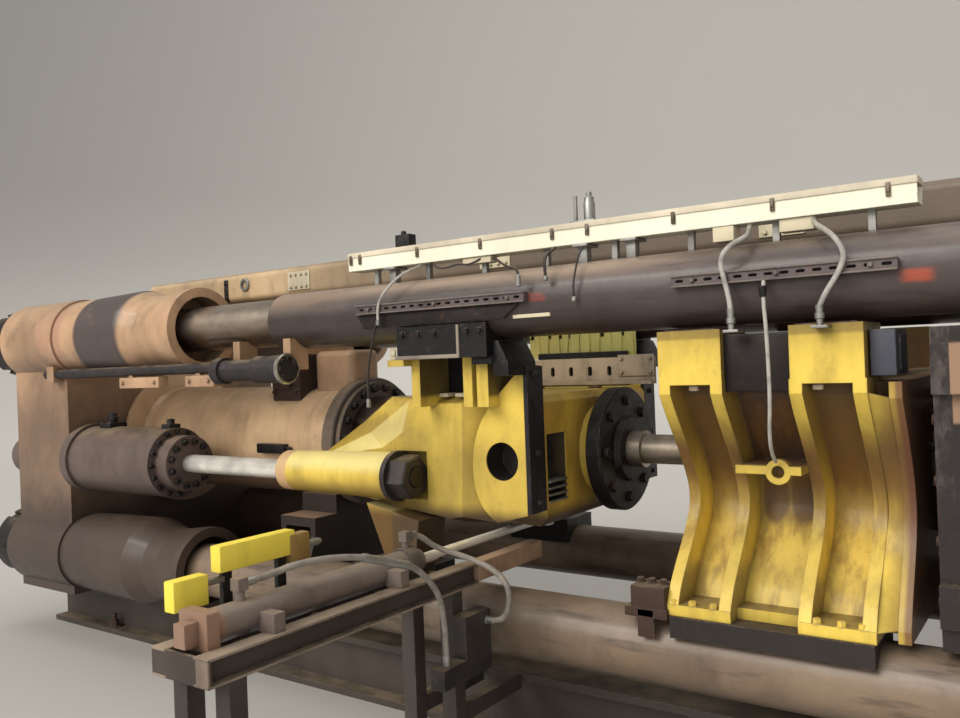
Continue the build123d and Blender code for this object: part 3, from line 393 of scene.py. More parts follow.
class Work:
    """A mesh being built from machined shapes, in metres in the press's own frame."""

    def __init__(self):
        self.mesh = bmesh.new()

    def block(self, low, high, edge=0.004):
        """A block between two corners with broken edges."""
        low, high = Vector(low), Vector(high)
        made = bmesh.ops.create_cube(self.mesh, size=1)["verts"]
        middle, span = (low + high) / 2, high - low
        for v in made:
            v.co = middle + Vector(a * b for a, b in zip(v.co, span))
        self.soften(made, min(edge, min(span) * 0.3))

    def soften(self, verts, edge):
        """Breaks the edges between points."""
        lines = list({e for v in verts for e in v.link_edges})
        bmesh.ops.bevel(self.mesh, geom=lines, offset=edge, segments=2, profile=0.6, affect="EDGES", clamp_overlap=True)

    def skin(self, rings):
        """Faces between rings of points. A ring of one point closes an end. Returns the first and last ring."""
        rings = [[self.mesh.verts.new(point) for point in ring] for ring in rings]
        steps = max(len(ring) for ring in rings)
        for one, two in zip(rings, rings[1:]):
            for i in range(steps):
                j = (i + 1) % steps
                corners = [one[i % len(one)], one[j % len(one)], two[j % len(two)], two[i % len(two)]]
                corners = list(dict.fromkeys(corners))
                if len(corners) > 2:
                    self.mesh.faces.new(corners)
        return rings[0], rings[-1]

    def turn(self, start, along, profile, steps=32):
        """A turned shape: profile is a list of (distance along, radius)."""
        start, along, side, other = axes(start, along)
        self.skin([circle(start + along * distance, side, other, radius, steps) if radius > 0
                   else [start + along * distance] for distance, radius in profile])

    def head(self, spot, along, across, height=None, washer=True, turned=0.0):
        """A hexagon bolt head with a washer, its face chamfered."""
        start, along, side, other = axes(spot, along)
        height = height or across * 0.62
        radius = across / math.sqrt(3)
        if washer:
            self.turn(start, along, [(-0.002, 0), (-0.002, radius * 1.25), (across * 0.09, radius * 1.22),
                                     (across * 0.1, 0)], 18)
            start = start + along * across * 0.09
        side.rotate(Matrix.Rotation(turned, 3, along))
        other = along.cross(side)
        bottom, top = self.skin([circle(start + along * distance, side, other, radius, 6, part)
                                 for distance, part in ((0, 1), (height * 0.86, 1), (height, 0.86))])
        self.mesh.faces.new(top)
        self.mesh.faces.new(reversed(bottom))

    def ring_of_heads(self, middle, along, radius, count, across):
        """Bolt heads on a pitch circle."""
        middle, along, side, other = axes(middle, along)
        for i, spot in enumerate(circle(middle, side, other, radius, count)):
            self.head(spot, along, across, turned=math.tau * i / count)

    def sheet(self, outline, along, thick, edge=0.003):
        """A plate from an outline of points, made thick along a direction."""
        along = Vector(along)
        verts = [self.mesh.verts.new(Vector(p)) for p in outline]
        face = self.mesh.faces.new(verts)
        made = bmesh.ops.extrude_face_region(self.mesh, geom=[face])["geom"]
        top = [v for v in made if isinstance(v, bmesh.types.BMVert)]
        bmesh.ops.translate(self.mesh, verts=top, vec=along.normalized() * thick)
        self.soften(verts + top, edge)

    def piece(self, name, look, body="frame", replaces=()):
        """The finished piece, riding on its body. The next one starts empty."""
        bmesh.ops.recalc_face_normals(self.mesh, faces=self.mesh.faces)
        mesh = bpy.data.meshes.new(name)
        self.mesh.to_mesh(mesh)
        self.mesh.free()
        self.mesh = bmesh.new()
        mesh.materials.append(finishes()[look] if isinstance(look, str) else look)
        mesh.shade_smooth()
        mesh.set_sharp_from_angle(angle=SHARP)
        made = bpy.data.objects.new(name, mesh)
        bpy.context.scene.collection.objects.link(made)
        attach(made, body)
        if replaces:
            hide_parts(*replaces)
        return made


def line_mesh(name, points, thick=0.0):
    """The mesh of a smooth line through its guide points: a tube, or with no thickness the line itself."""
    line = bpy.data.curves.new(name, "CURVE")
    line.dimensions = "3D"
    spline = line.splines.new("NURBS")
    spline.points.add(len(points) - 1)
    for knot, point in zip(spline.points, points):
        knot.co = (*point, 1)
    spline.order_u = 3
    spline.use_endpoint_u = True
    spline.resolution_u = 10
    line.bevel_depth = thick / 2
    line.bevel_resolution = 4
    line.use_fill_caps = True
    guide = bpy.data.objects.new(name + "_line", line)
    bpy.context.scene.collection.objects.link(guide)
    bpy.context.view_layer.update()
    mesh = bpy.data.meshes.new_from_object(guide.evaluated_get(bpy.context.evaluated_depsgraph_get()))
    bpy.data.objects.remove(guide)
    return mesh


def cable(name, points, diameter, look, crosses=None, replaces=(),
          with_pieces=()):
    """A cable along a smooth line through its guide points. crosses is the two points between which it goes over from
    the frame to the container; when it is given, the cable is left unattached instead of riding on the frame."""
    path = [tuple(v.co) for v in line_mesh(name + "_path", points).vertices]
    mesh = line_mesh(name, points, diameter)
    mesh.materials.clear()
    mesh.materials.append(finishes()[look])
    mesh.shade_smooth()
    made = bpy.data.objects.new(name, mesh)
    bpy.context.scene.collection.objects.link(made)
    if crosses:
        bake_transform(made)
    else:
        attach(made, "frame")
    if replaces:
        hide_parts(*replaces)


def platen_stains(p):
    """A dark purple grey band round the flare of the tie rod boss, darker brown below it, and painted shade low down.
    """
    band = p.x.band(-4.2, -3.5, 0.03) * p.noise(2.4, 5, 0.6, shift=11).step(0.1, 0.4) * p.z.step(2.4, 2.6)
    p.stain(band * 0.95, 64, 56, 58)
    p.stain((2.66 - p.z + p.noise(5, 6, 0.7) * 0.5).step(0.1, 0.9) * 0.7, 84, 66, 58)
    # Painted shade on the lower part of the platen and its lower boss.
    low = (1.62 - p.z + p.noise(7, 6, 0.7) * 0.4).step(0.1, 0.7)
    p.stain(low * 0.8, 42, 33, 30)
    pink = p.x.band(-4.9, -4.46, 0.02) * p.noise(2.2, 4, shift=3).step(0.4, 0.6) * p.z.step(2.5, 2.6)
    p.stain(pink * 0.6, 180, 134, 116)


def cylinder_stains(p):
    """Oil at the gland end, and painted shade underneath."""
    streaks = p.noise(1, 6, 0.7, (7, 0.8, 0.8), 6).step(0.5, 0.72)
    p.stain(streaks * 0.35, 122, 84, 62)
    end = p.x.step(-2.2, -1.9) * p.noise(3.2, 5, 0.65, shift=12).step(0.38, 0.6)
    p.stain(end * 0.6, 116, 92, 70)
    # Painted shade: the lower half of the cylinder is darkened.
    low = (AXIS - 0.08 - p.z + p.noise(2, 4, shift=4) * 0.25).step(0.1, 0.3)
    p.stain(low * 0.8, 112, 84, 70)


def sleeve_stains(p):
    """Dust and painted sheen on top, a painted highlight along the top line, a bronze end at the rear platen with a
    painted highlight on its upper side, dark smears, and two faded marks on the near sleeve.
    """
    # Dust and painted sheen: upward faces are lighter.
    top = p.up.step(0.2, 0.75) * p.noise(1.3, 5, 0.6, (0.5, 3, 3), 3).step(0.32, 0.62)
    p.stain(top * 0.7, 122, 106, 94)
    # Painted highlight: a pale strip along the top line.
    crown_highlight = p.up.step(0.4, 0.85) * (p.x + p.noise(1.5, 4, 0.6, (0.4, 3, 3)) * 2).step(3.2, 1.4)
    p.stain(crown_highlight * p.z.step(2.9, 3.0) * 0.65, 208, 184, 162)
    # Bronze near the rear platen, on upward faces only as a painted highlight.
    p.stain((0 - p.x).step(0.7, 1.1) * p.up.step(0.0, 0.7) * p.z.step(2.6, 2.8) * 0.6, 150, 126, 106)
    p.stain(p.noise(1, 6, 0.65, (1.2, 9, 9), 8).step(0.52, 0.7) * 0.6, 34, 28, 28)
    p.stain(p.x.band(-1.72, 0.85, 0.3) * 0.25, 40, 32, 30)
    near = p.y < -1.18
    dull = p.x.band(0.67, 0.8, 0.02) * p.z.band(2.93, 2.98, 0.012) * near * p.noise(9, 4).step(0.3, 0.6)
    p.stain(dull * 0.8, 140, 58, 46)
    marked = p.x.band(2.77, 2.9, 0.03) * p.z.band(2.875, 2.935, 0.014) * near * p.noise(9, 4).step(0.3, 0.5)
    p.stain(marked * 0.8, 176, 78, 50)


def crosshead_stains(p):
    """Dust on the body, a darker cheek, olive on the wing's upper faces, painted shade with brown patches on the front,
    painted shade and oil on the legs, painted shadow and grease under the shoes, a painted highlight on top of the boss
    and painted shade below it, an opening and a recess painted black as their shade, and a tan collar on the boss.
    """
    dusty = (0 - p.x).step(0.25, 0.75) * p.z.step(1.86, 2.15) * (p.y < -0.6)
    dusty = dusty * p.noise(3, 5, 0.6, shift=5).step(0.3, 0.6)
    p.stain(dusty * 0.8, 146, 120, 62)
    cheek = (p.y < -0.8) * (2.3 - p.z).step(0.0, 0.4) * p.x.step(-0.75, -0.5)
    p.stain(cheek * (p.noise(1.6, 5, 0.6, (3, 3, 1), 2).step(0.3, 0.7) * 0.3 + 0.36), 140, 116, 50)
    # Painted shade on the faces turned to the die end of the front, with brown patches in it.
    front = p.x.band(0.35, 0.6, 0.02) * p.side_x.step(0.5, 0.9)
    brown = front * p.noise(2.2, 5, 0.6, (1, 1.6, 0.8), 7).step(0.3, 0.7)
    p.stain(front * 0.5, 170, 122, 34)
    p.stain(brown * 0.5, 104, 68, 28)
    # Painted shade and oil: the legs below 1.6 m are dark brown.
    p.stain((1.6 - p.z).step(0.0, 0.12) * 0.95, 66, 42, 22)
    # Painted shadow, with grease, under the shoes on the faces turned to the die end.
    shoe_shadow_and_grease = p.side_x.step(0.6, 0.9) * p.z.band(2.34, 2.62, 0.02)
    shoe_shadow_and_grease = shoe_shadow_and_grease * (p.x.band(-0.335, -0.29, 0.004) + p.x.band(0.25, 0.28, 0.004))
    p.stain(shoe_shadow_and_grease * 0.85, 46, 34, 26)
    boss = (0 - p.x).step(0.62, 0.66) * (p.y < -0.86)
    wing = (0 - p.x).step(0.2, 0.4) * p.up.step(0.25, 0.6) * ((0 - p.y) < 0.86)
    p.stain(wing * 0.6, 170, 142, 52)
    # Painted shade under the boss, and a painted highlight on its top.
    p.stain(boss * (1.8 - p.z).step(0.0, 0.14) * 0.5, 120, 84, 24)
    p.stain(boss * p.up.step(0.0, 0.6) * 0.5, 255, 246, 176)
    p.stain(boss * (0 - p.x).step(1.635, 1.645) * 0.8, 206, 166, 130)
    # Painted shade: the opening through the cheek is painted black.
    hole_shade = (((p.x - 0.263) * (p.x - 0.263) + (p.z - AXIS) * (p.z - AXIS)) < 0.0176) * (abs(p.y) < 0.992)
    p.stain(hole_shade, 16, 14, 16)
    # Painted shade: the recess in the front face is painted near black.
    recess = p.x.band(0.2, 0.475, 0.003) * abs(p.y).band(0.51, 0.8, 0.004) * p.z.band(1.58, 2.1, 0.01)
    p.stain(recess * 0.95, 34, 26, 24)


def tie_rod_stains(p):
    """Darker brown on the lower half."""
    p.stain((0.1 - p.up).step(0.0, 0.5) * 0.75, 84, 62, 48)


def rod_stains(p):
    """The rod's end in its nut is black with oil."""
    p.stain(p.x.step(-0.47, -0.45), 34, 30, 30)


def header_stains(p):
    """Greyer towards the die end, with a dark line along the top edge."""
    p.stain((p.x + p.noise(2, 4) * 0.8).step(-2.6, 0.4) * 0.9, 94, 82, 74)
    p.stain(p.z.step(3.48, 3.5) * 0.5, 110, 88, 66)


def head_stains(p):
    """The rear head of the transfer cylinder has lost its paint."""
    p.stain((0 - p.y + p.noise(8, 4) * 0.05).step(3.2, 3.26) * 0.7, 160, 122, 98)


def die_stains(p):
    """A greasy grey corner beside a panel that still has its tan paint."""
    near = p.y < -1.15
    corner = p.x.band(2.86, 2.952, 0.004) * near
    grease = p.noise(1, 6, 0.7, (9, 9, 4), 4).step(0.42, 0.66)
    p.stain(corner * grease * p.z.step(1.8, 1.95) * 0.4, 132, 120, 112)
    panel = p.x.step(2.953, 2.958) * near * p.z.band(2.2, 2.58, 0.01)
    p.stain(panel * 0.9, 164, 130, 104)


def saddle_stains(p):
    """Tan on the upward faces at the top of the saddle."""
    p.stain(p.up.step(0.6, 0.9) * p.z.step(1.1, 1.2) * 0.8, 176, 146, 120)


def gland_stains(p):
    """A greasy grey rim round the dark face."""
    rim = (abs(p.side_x) * -1).step(-0.7, -0.3) * p.noise(4, 4, shift=3).step(0.2, 0.6)
    p.stain(rim * 0.8, 142, 124, 108)


def housing_stains(p):
    """Painted shadow in the upper pockets and painted shade on the ribs' sides, brown, turning yellow lower down;
    deeper painted shade at the top of the middle pocket, with two scallops of shade below the eye; brown streaks;
    painted shade along the top strip; greyer low down; and a rusty rim.
    """
    inner = abs(p.y) * -1 + 1.04 + abs(p.z - 1.7) * 0.28
    deep = inner.step(0.0, 0.14) * abs(p.side_x).step(0.95, 0.2)
    high = (p.z + p.noise(3, 5, 0.6, (2.4, 1, 0.5), 2) * 0.35).step(1.48, 2.15)
    # Painted shadow: the upper pockets are brown.
    p.stain(deep * high * 0.9, 92, 60, 38)
    # Painted shade on the ribs' sides, high up.
    p.stain(abs(p.side_x).step(0.4, 0.8) * (p.z + p.noise(3, 5) * 0.3).step(1.7, 2.3) * 0.74, 98, 66, 34)
    # Painted shade at the top of the middle pocket.
    middle = p.x.band(1.87, 2.21, 0.02) * deep
    p.stain(middle * p.z.step(1.86, 1.92) * 0.75, 66, 42, 32)
    for x in (1.96, 2.12):
        spot = (p.x - x) * (p.x - x) * 130 + (p.z - 1.72) * (p.z - 1.72) * 34
        p.stain((spot + p.noise(6, 4) * 0.4).step(1.2, 0.7) * middle * 0.7, 78, 52, 40)
    streaks = p.noise(1, 5, 0.65, (9, 5, 0.6), 6).step(0.44, 0.66) * deep
    p.stain(streaks * 0.6, 122, 84, 36)
    low = (1.36 - p.z + p.noise(7, 5, 0.6) * 0.14).step(0.0, 0.12) * abs(p.side_y).step(0.9, 0.5)
    p.stain(low * 0.6, 92, 80, 62)
    # Painted shade along the top strip of the blocks.
    p.stain(p.z.step(2.64, 2.66) * p.noise(3, 4, shift=5).step(0.2, 0.4) * 0.6, 112, 94, 40)
    rim = (p.x + p.noise(6, 5, 0.7) * 0.05).step(2.62, 2.7)
    p.stain(rim * 0.4, 120, 86, 50)
    p.stain(p.x.step(2.695, 2.72) * 0.8, 104, 60, 44)


class PressOperator:
    bl_options = {"REGISTER", "UNDO"}


class PRESS_OT_finishes(PressOperator, bpy.types.Operator):
    """Put a worn finish on every casting, rod and beam of the press"""

    bl_idname = "press.finishes"
    bl_label = "Casting finishes"

    def execute(self, context):
        s = context.scene.press_finish
        tan, yellow, black, sleeve = (tuple(c) for c in (s.tan, s.yellow, s.black, s.sleeve))
        f = finishes()

        looks = {
            "rear_platen": worn_paint("rear_platen_paint", tan, coat=0.3, stains=platen_stains, rust=0.35),
            # A lighter copy of the tan paint, as painted light on the cylinder that the tie rod shades.
            "main_cylinder": worn_paint("main_cylinder_paint", shade(250, 208, 164), coat=0.45,
                                        rough=0.3, stains=cylinder_stains, rust=0.3, corner=0.08, dirt_and_shade=0.6),
            "front_platen": f["tan"],
            "prefill_valve": f["tan"],
            "crosshead": worn_paint("crosshead_paint", yellow, coat=0.2, stains=crosshead_stains, tone=0.8,
                                    rust=0.4, corner=0.3, dust=0.15),
            "container_housing": worn_paint("housing_paint", yellow, coat=0.2, stains=housing_stains,
                                            tone=0.85, rust=0.45, corner=0.16, streak=0.4),
            "upper_sleeves": worn_paint("upper_sleeve_paint", sleeve, coat=0.3, rough=0.3, dust=0.3,
                                        stains=sleeve_stains, rust=0.3, streak=0.1),
            "lower_sleeves": worn_paint("lower_sleeve_paint", shade(132, 112, 92), coat=0.3, rough=0.32,
                                        dust=0.4, stains=sleeve_stains, rust=0.4, streak=0.1),
            "tie_rods": machined("tie_rod_steel", shade(200, 186, 170), rough=0.22, lines=(3, 40, 40),
                                 grease=0.6, stains=tie_rod_stains),
            # Painted reflection: near-white with little metal, for the chrome's bright look.
            "side_rods": machined("side_rod_chrome", shade(245, 240, 232), rough=0.1, lines=(2, 30, 30),
                                  grease=0.06, rust=0.0, stains=rod_stains, metal=0.35),
            "main_ram": machined("main_ram_steel", shade(120, 108, 92), grease=0.8),
            "stem": machined("stem_steel", shade(206, 192, 174), rough=0.28, rust=0.3),
            "stem_disc": oiled("stem_disc_steel", shade(12, 10, 12), rough=0.38, dust=0.15, light=(0.03, 0.028, 0.03)),
            "container_liner": machined("liner_steel", shade(120, 104, 88), rough=0.4, grease=0.7, rust=0.5),
            # Painted reflection: near-white with little metal, for the chrome's bright look.
            "loader_rod": machined("loader_rod_chrome", shade(246, 242, 236), rough=0.12,
                                   lines=(30, 2, 30), grease=0.06, rust=0.0, metal=0.3),
            "side_cylinders": worn_paint("side_cylinder_paint", shade(96, 80, 74), rough=0.4, coat=0.2),
            "cylinder_saddle": worn_paint("saddle_paint", shade(56, 45, 40), stains=saddle_stains),
            "bed_beams": worn_paint("bed_paint", shade(66, 58, 52), rust=0.6),
            "bed_cross_members": worn_paint("cross_member_paint", shade(58, 50, 46), rust=0.6),
            # Near black, partly as painted shade of the die end.
            "die_frame": worn_paint("die_frame_paint", shade(32, 24, 26), streak=0.9, stains=die_stains),
            "die_slide": oiled("die_slide_steel", black, rust=0.6),
            "slotted_bar": worn_paint("slotted_bar_paint", shade(206, 186, 160), rust=0.95, streak=1.0, dirt_and_shade=1.2),
            "header_beam": worn_paint("header_paint", shade(204, 176, 138), rust=0.35, rough=0.4,
                                      coat=0.1, stains=header_stains),
            "wireway": worn_paint("wireway_paint", shade(250, 242, 220), rust=0.2, dirt_and_shade=0.2, tone=0.93, streak=0.25),
            "wireway_legs": f["zinc"],
            "strut_rails": oiled("strut_steel", shade(104, 92, 92), rust=0.3),
            "loader_table": worn_paint("loader_table_paint", shade(72, 62, 58), dust=0.7),
            "loader_posts": worn_paint("loader_post_paint", shade(66, 58, 54)),
            "loader_cylinder": worn_paint("loader_barrel_paint", shade(134, 120, 112), rust=0.3,
                                          coat=0.3, rough=0.35, dust=0.4, stains=head_stains),
            # Painted shade: darkened to the shade under the housing.
            "container_shoes": worn_paint("container_shoe_paint", shade(38, 30, 28), dust=0.2),
            "pilot_cylinder": oiled("pilot_cylinder_steel", shade(50, 46, 48), dust=0.5),
            "pilot_clips": f["tan"],
            # Painted shade: the plate on the cheek's front edge is near black.
            "cheek_plates": oiled("cheek_plate_steel", shade(34, 30, 40), dust=0.1),
            "side_rod_nuts": oiled("rod_nut_steel", shade(66, 60, 58), dust=0.6),
            "cylinder_gland": oiled("gland_steel", shade(104, 92, 84), dust=0.6, stains=gland_stains),
            "hose_manifold": oiled("manifold_steel", shade(60, 54, 52), dust=0.5),
            "switch_guards": f["guard"],
            "valve_manifold": f["rusty"],
            "loader_hoses": f["rubber"],
        }
        for name, node in NODES.items():
            node.data.materials.clear()
            node.data.materials.append(looks.get(name, f["black"]))
        return {"FINISHED"}


class PRESS_OT_cylinder_hardware(PressOperator, bpy.types.Operator):
    """Bolt the main gland and the side glands"""

    bl_idname = "press.cylinder_hardware"
    bl_label = "Cylinder bolts"

    def execute(self, context):
        across = context.scene.press_hardware.gland_bolt
        work = Work()
        work.ring_of_heads((-1.704, 0, AXIS), ALONG, 0.475, 20, across)
        work.piece("main_gland_bolts", "black")
        for side in (NEAR, FAR):
            middle = Vector((0, side * TIE_Y, SIDE_AXIS))
            work.ring_of_heads(middle + ALONG * -3.03, ALONG, 0.195, 12, 0.046)
            work.ring_of_heads(middle + ALONG * -3.2, ALONG, 0.28, 16, 0.036)
        work.piece("side_gland_bolts", "black")
        return {"FINISHED"}


class PRESS_OT_tray_fittings(PressOperator, bpy.types.Operator):
    """Lay the lid on the tray, clip it down, and stand the filter and the boxes on it"""

    bl_idname = "press.tray_fittings"
    bl_label = "Tray fittings"

    def execute(self, context):
        low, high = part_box("wireway")
        work = Work()
        for x in (-0.93, -0.841, -0.303, 0.232, 0.781, 1.026, 1.578, 2.135, 2.701):
            work.block((x - 0.012, low.y - 0.012, high.z - 0.086), (x + 0.012, low.y + 0.004, high.z - 0.016))
            work.block((x - 0.008, low.y - 0.018, high.z - 0.066), (x + 0.008, low.y - 0.008, high.z - 0.038))
        work.piece("tray_clips", "latch")
        work.block((low.x - 0.004, low.y - 0.006, high.z - 0.034), (high.x + 0.004, high.y + 0.006, high.z + 0.003),
                   0.002)
        work.piece("tray_lid", worn_paint("tray_lid_paint", shade(228, 216, 192), rust=0.2, dirt_and_shade=0.4, dust=0.7))
        bowl = [(0, 0), (0, 0.03), (0.02, 0.03), (0.025, 0.036), (0.13, 0.036), (0.14, 0.03), (0.166, 0.03),
                (0.172, 0.018), (0.197, 0.018), (0.197, 0)]
        work.turn((0.985, -1.0, high.z), UP, bowl, 24)
        work.turn((0.9, -1.02, high.z), UP, [(0, 0), (0, 0.012), (0.18, 0.012), (0.18, 0)], 14)
        work.block((0.88, -1.07, high.z), (1.05, -0.97, high.z + 0.02))
        work.piece("tray_filter", "zinc")
        work.block((-0.55, -1.06, high.z), (-0.42, -0.98, high.z + 0.1), 0.006)
        work.turn((-0.5, -1.02, high.z + 0.1), UP, [(0, 0), (0, 0.02), (0.02, 0.02), (0.03, 0.012), (0.03, 0)], 16)
        work.piece("tray_switch_box", "black")
        work.block((1.8, -1.11, low.z - 0.085), (1.92, -1.0, low.z), 0.006)
        work.block((2.16, -1.1, low.z - 0.07), (2.34, -1.02, low.z), 0.006)
        work.block((0.07, -1.1, low.z - 0.045), (0.3, -1.02, low.z), 0.006)
        work.piece("tray_junction_boxes", "cream")
        for x in (-0.55, 0.98, 1.3):
            work.block((x - 0.03, -1.1, UPPER + 0.21), (x + 0.03, -1.04, low.z), 0.004)
            work.block((x - 0.05, -1.14, low.z - 0.02), (x + 0.05, -0.98, low.z - 0.004), 0.003)
        work.piece("tray_brackets", "zinc")
        return {"FINISHED"}


class PRESS_OT_tray_cables(PressOperator, bpy.types.Operator):
    """Run the flexible conduits and thin cables down from the tray, with their end fittings"""

    bl_idname = "press.tray_cables"
    bl_label = "Tray cables"

    def execute(self, context):
        c = context.scene.press_cable
        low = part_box("wireway")[0].z
        near = -1.325
        work = Work()
        fittings = []
        for name, x, top in (("left", 1.96, 2.8), ("right", 2.405, 2.79)):
            work.turn((x, near, 2.69), UP, [(0, 0), (0, 0.017), (0.03, 0.017), (0.034, 0.024), (0.06, 0.024),
                                            (0.064, 0.018), (top - 2.69, 0.02), (top - 2.69, 0)], 18)
            work.block((x - 0.04, near - 0.02, 2.676), (x + 0.04, -1.255, 2.69), 0.002)
            fittings.append(work.piece("conduit_fitting_" + name, "zinc", body="container_body"))
        cable("housing_conduit_left",
              [(2.0, -1.08, low), (2.0, -1.1, low - 0.05), (2.03, -1.24, low - 0.09), (1.96, near, 3.13),
               (1.91, near, 3.06), (1.93, near, 2.96), (1.955, near, 2.86), (1.96, near, 2.79)],
              c.conduit, "conduit",
              ((1.93, near, 3.1), (1.96, near, 2.84)), with_pieces=fittings[:1])
        cable("housing_conduit_right",
              [(2.33, -1.08, low), (2.34, -1.1, low - 0.04), (2.4, -1.24, low - 0.08), (2.49, near, 3.12),
               (2.535, near, 3.03), (2.5, near, 2.94), (2.43, near, 2.84), (2.405, near, 2.78)],
              c.conduit, "conduit",
              ((2.5, near, 3.08), (2.42, near, 2.82)), with_pieces=fittings[1:])

        def plug(name, x, y, z, long):
            shape = [(0, 0), (0, 0.011), (0.006, 0.016), (long - 0.006, 0.016), (long, 0.01), (long, 0)]
            work.turn((x, y, z), UP, shape, 16)
            return [work.piece(name, "zinc")]

        cable("rail_lead_left",
              [(-0.29, -1.08, low), (-0.3, -1.12, low - 0.03), (-0.33, -1.27, 3.19), (-0.46, -1.32, 3.06),
               (-0.505, -1.32, 2.98), (-0.507, -1.32, 2.9), (-0.507, -1.32, 2.86)],
              c.wire * 1.6, "conduit",
              with_pieces=plug("left_lead_plug", -0.507, -1.32, 2.845, 0.04))
        cable("rail_lead_middle",
              [(0.31, -1.08, low - 0.02), (0.36, -1.12, 3.23), (0.44, -1.2, 3.2), (0.56, -1.29, 3.15),
               (0.65, -1.325, 3.13), (0.652, -1.325, 3.09)],
              c.wire * 1.4, "wire",
              with_pieces=plug("middle_lead_plug", 0.652, -1.325, 3.02, 0.075))
        cable("rail_lead_right",
              [(0.79, -1.1, low), (0.8, -1.14, low - 0.02), (0.805, -1.26, 3.2), (0.82, -1.29, 3.12),
               (0.822, -1.285, 3.07)],
              c.wire * 1.6, "wire",
              with_pieces=plug("right_lead_plug", 0.822, -1.285, 3.045, 0.03))
        cable("rail_lead_end",
              [(1.0, -1.12, low - 0.01), (1.01, -1.2, 3.2), (1.02, -1.28, 3.08), (1.015, -1.3, 2.99),
               (1.014, -1.29, 2.93)],
              c.wire, "wire",
              with_pieces=plug("end_lead_plug", 1.014, -1.29, 2.905, 0.03))
        cable("tray_loose_wires",
              [(-0.2, -1.09, low), (-0.15, -1.12, low - 0.04), (-0.05, -1.14, low - 0.06),
               (0.06, -1.13, low - 0.035), (0.14, -1.12, low - 0.055), (0.22, -1.1, low - 0.015)],
              c.wire, "wire")
        cable("hanging_wire",
              [(-0.535, -1.285, 2.93), (-0.56, -1.305, 2.8), (-0.6, -1.31, 2.65), (-0.628, -1.31, 2.5),
               (-0.632, -1.31, 2.4), (-0.63, -1.31, 2.33)],
              c.wire * 1.3, "wire",
              with_pieces=plug("hanging_wire_plug", -0.63, -1.31, 2.28, 0.06))
        work.turn((2.13, -1.32, 2.85), UP, [(0, 0), (0, 0.016), (0.03, 0.02), (0.055, 0.02), (0.06, 0)], 16)
        cable("eye_rope",
              [(2.13, -1.3, 2.94), (2.13, -1.325, 2.86), (2.145, -1.34, 2.7), (2.15, -1.34, 2.5),
               (2.145, -1.32, 2.3), (2.12, -1.27, 2.14), (2.103, -1.18, 2.02), (2.1, -1.11, 1.98)],
              c.wire * 1.7, "conduit",
              ((2.14, -1.33, 2.78), (2.12, -1.27, 2.2)),
              with_pieces=[work.piece("eye_rope_clamp", "black")])
        return {"FINISHED"}


class PRESS_OT_rail_shade_and_lips(PressOperator, bpy.types.Operator):
    """Hang a dark sheet below the left rail as painted shade on the sleeve, edge both rails, and fix the scale"""

    bl_idname = "press.rail_covers"
    bl_label = "Rail covers"

    def execute(self, context):
        work = Work()
        # Painted shade: a dark sheet stands for the sleeve's shadow below the rail.
        outline = [(-0.74, -1.262, 2.925), (-0.68, -1.262, 2.84), (0.5, -1.262, 2.84), (0.62, -1.262, 2.925)]
        work.sheet(outline, -BACK, 0.02, 0.004)
        work.block((-0.7, -1.268, 2.832), (0.5, -1.25, 2.846), 0.003)
        work.piece("rail_shade_sheet", oiled("rail_shade_sheet_steel", shade(40, 32, 32), dust=0.2, rust=0.4))
        for low, high in ((-0.726, 0.671), (1.627, 2.761)):
            bottom, top = (2.934, 2.99) if low < 0 else (2.94, 2.996)
            for z in (bottom, top):
                work.block((low, -1.312, z - 0.005), (high, -1.3, z + 0.005), 0.002)
            for x in (low + 0.12, (low + high) / 2, high - 0.12):
                work.head((x, -1.302, (bottom + top) / 2), -BACK, 0.022)
        work.piece("rail_lips", worn_paint("rail_lip_paint", shade(120, 108, 102), rust=0.3))
        work.block((0.55, -1.247, 2.832), (0.82, -1.225, 2.856), 0.003)
        work.piece("sleeve_scale", "cream")
        return {"FINISHED"}


class PRESS_OT_header_fittings(PressOperator, bpy.types.Operator):
    """Fit the joint plates, the port and the slot cover on the header"""

    bl_idname = "press.header_fittings"
    bl_label = "Header fittings"

    def execute(self, context):
        low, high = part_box("header_beam")
        middle = (low.z + high.z) / 2
        work = Work()
        for x in (-2.35, -0.2, 1.95, 3.4):
            for side in (NEAR, FAR):
                y = side * high.y
                work.block((x - 0.14, y - 0.008, middle - 0.085), (x + 0.14, y + 0.008, middle + 0.085), 0.003)
                for dx in (-0.1, -0.035, 0.035, 0.1):
                    for dz in (-0.055, 0.055):
                        work.head((x + dx, y + side * 0.008, middle + dz), BACK * side, 0.022)
        work.piece("header_joint_plates", "cream")
        work.turn((-3.09, low.y + 0.004, middle + 0.02), -BACK,
                  [(0, 0.062), (0.016, 0.062), (0.02, 0.056), (0.02, 0.036), (-0.002, 0.034), (-0.002, 0)], 28)
        work.piece("header_port", "zinc")
        work.block((-3.39, low.y - 0.012, low.z + 0.005), (-3.34, low.y + 0.01, high.z - 0.05), 0.004)
        for z in (low.z + 0.04, middle, high.z - 0.09):
            work.head((-3.365, low.y - 0.012, z), -BACK, 0.02)
        work.piece("header_slot_cover", "black")
        return {"FINISHED"}


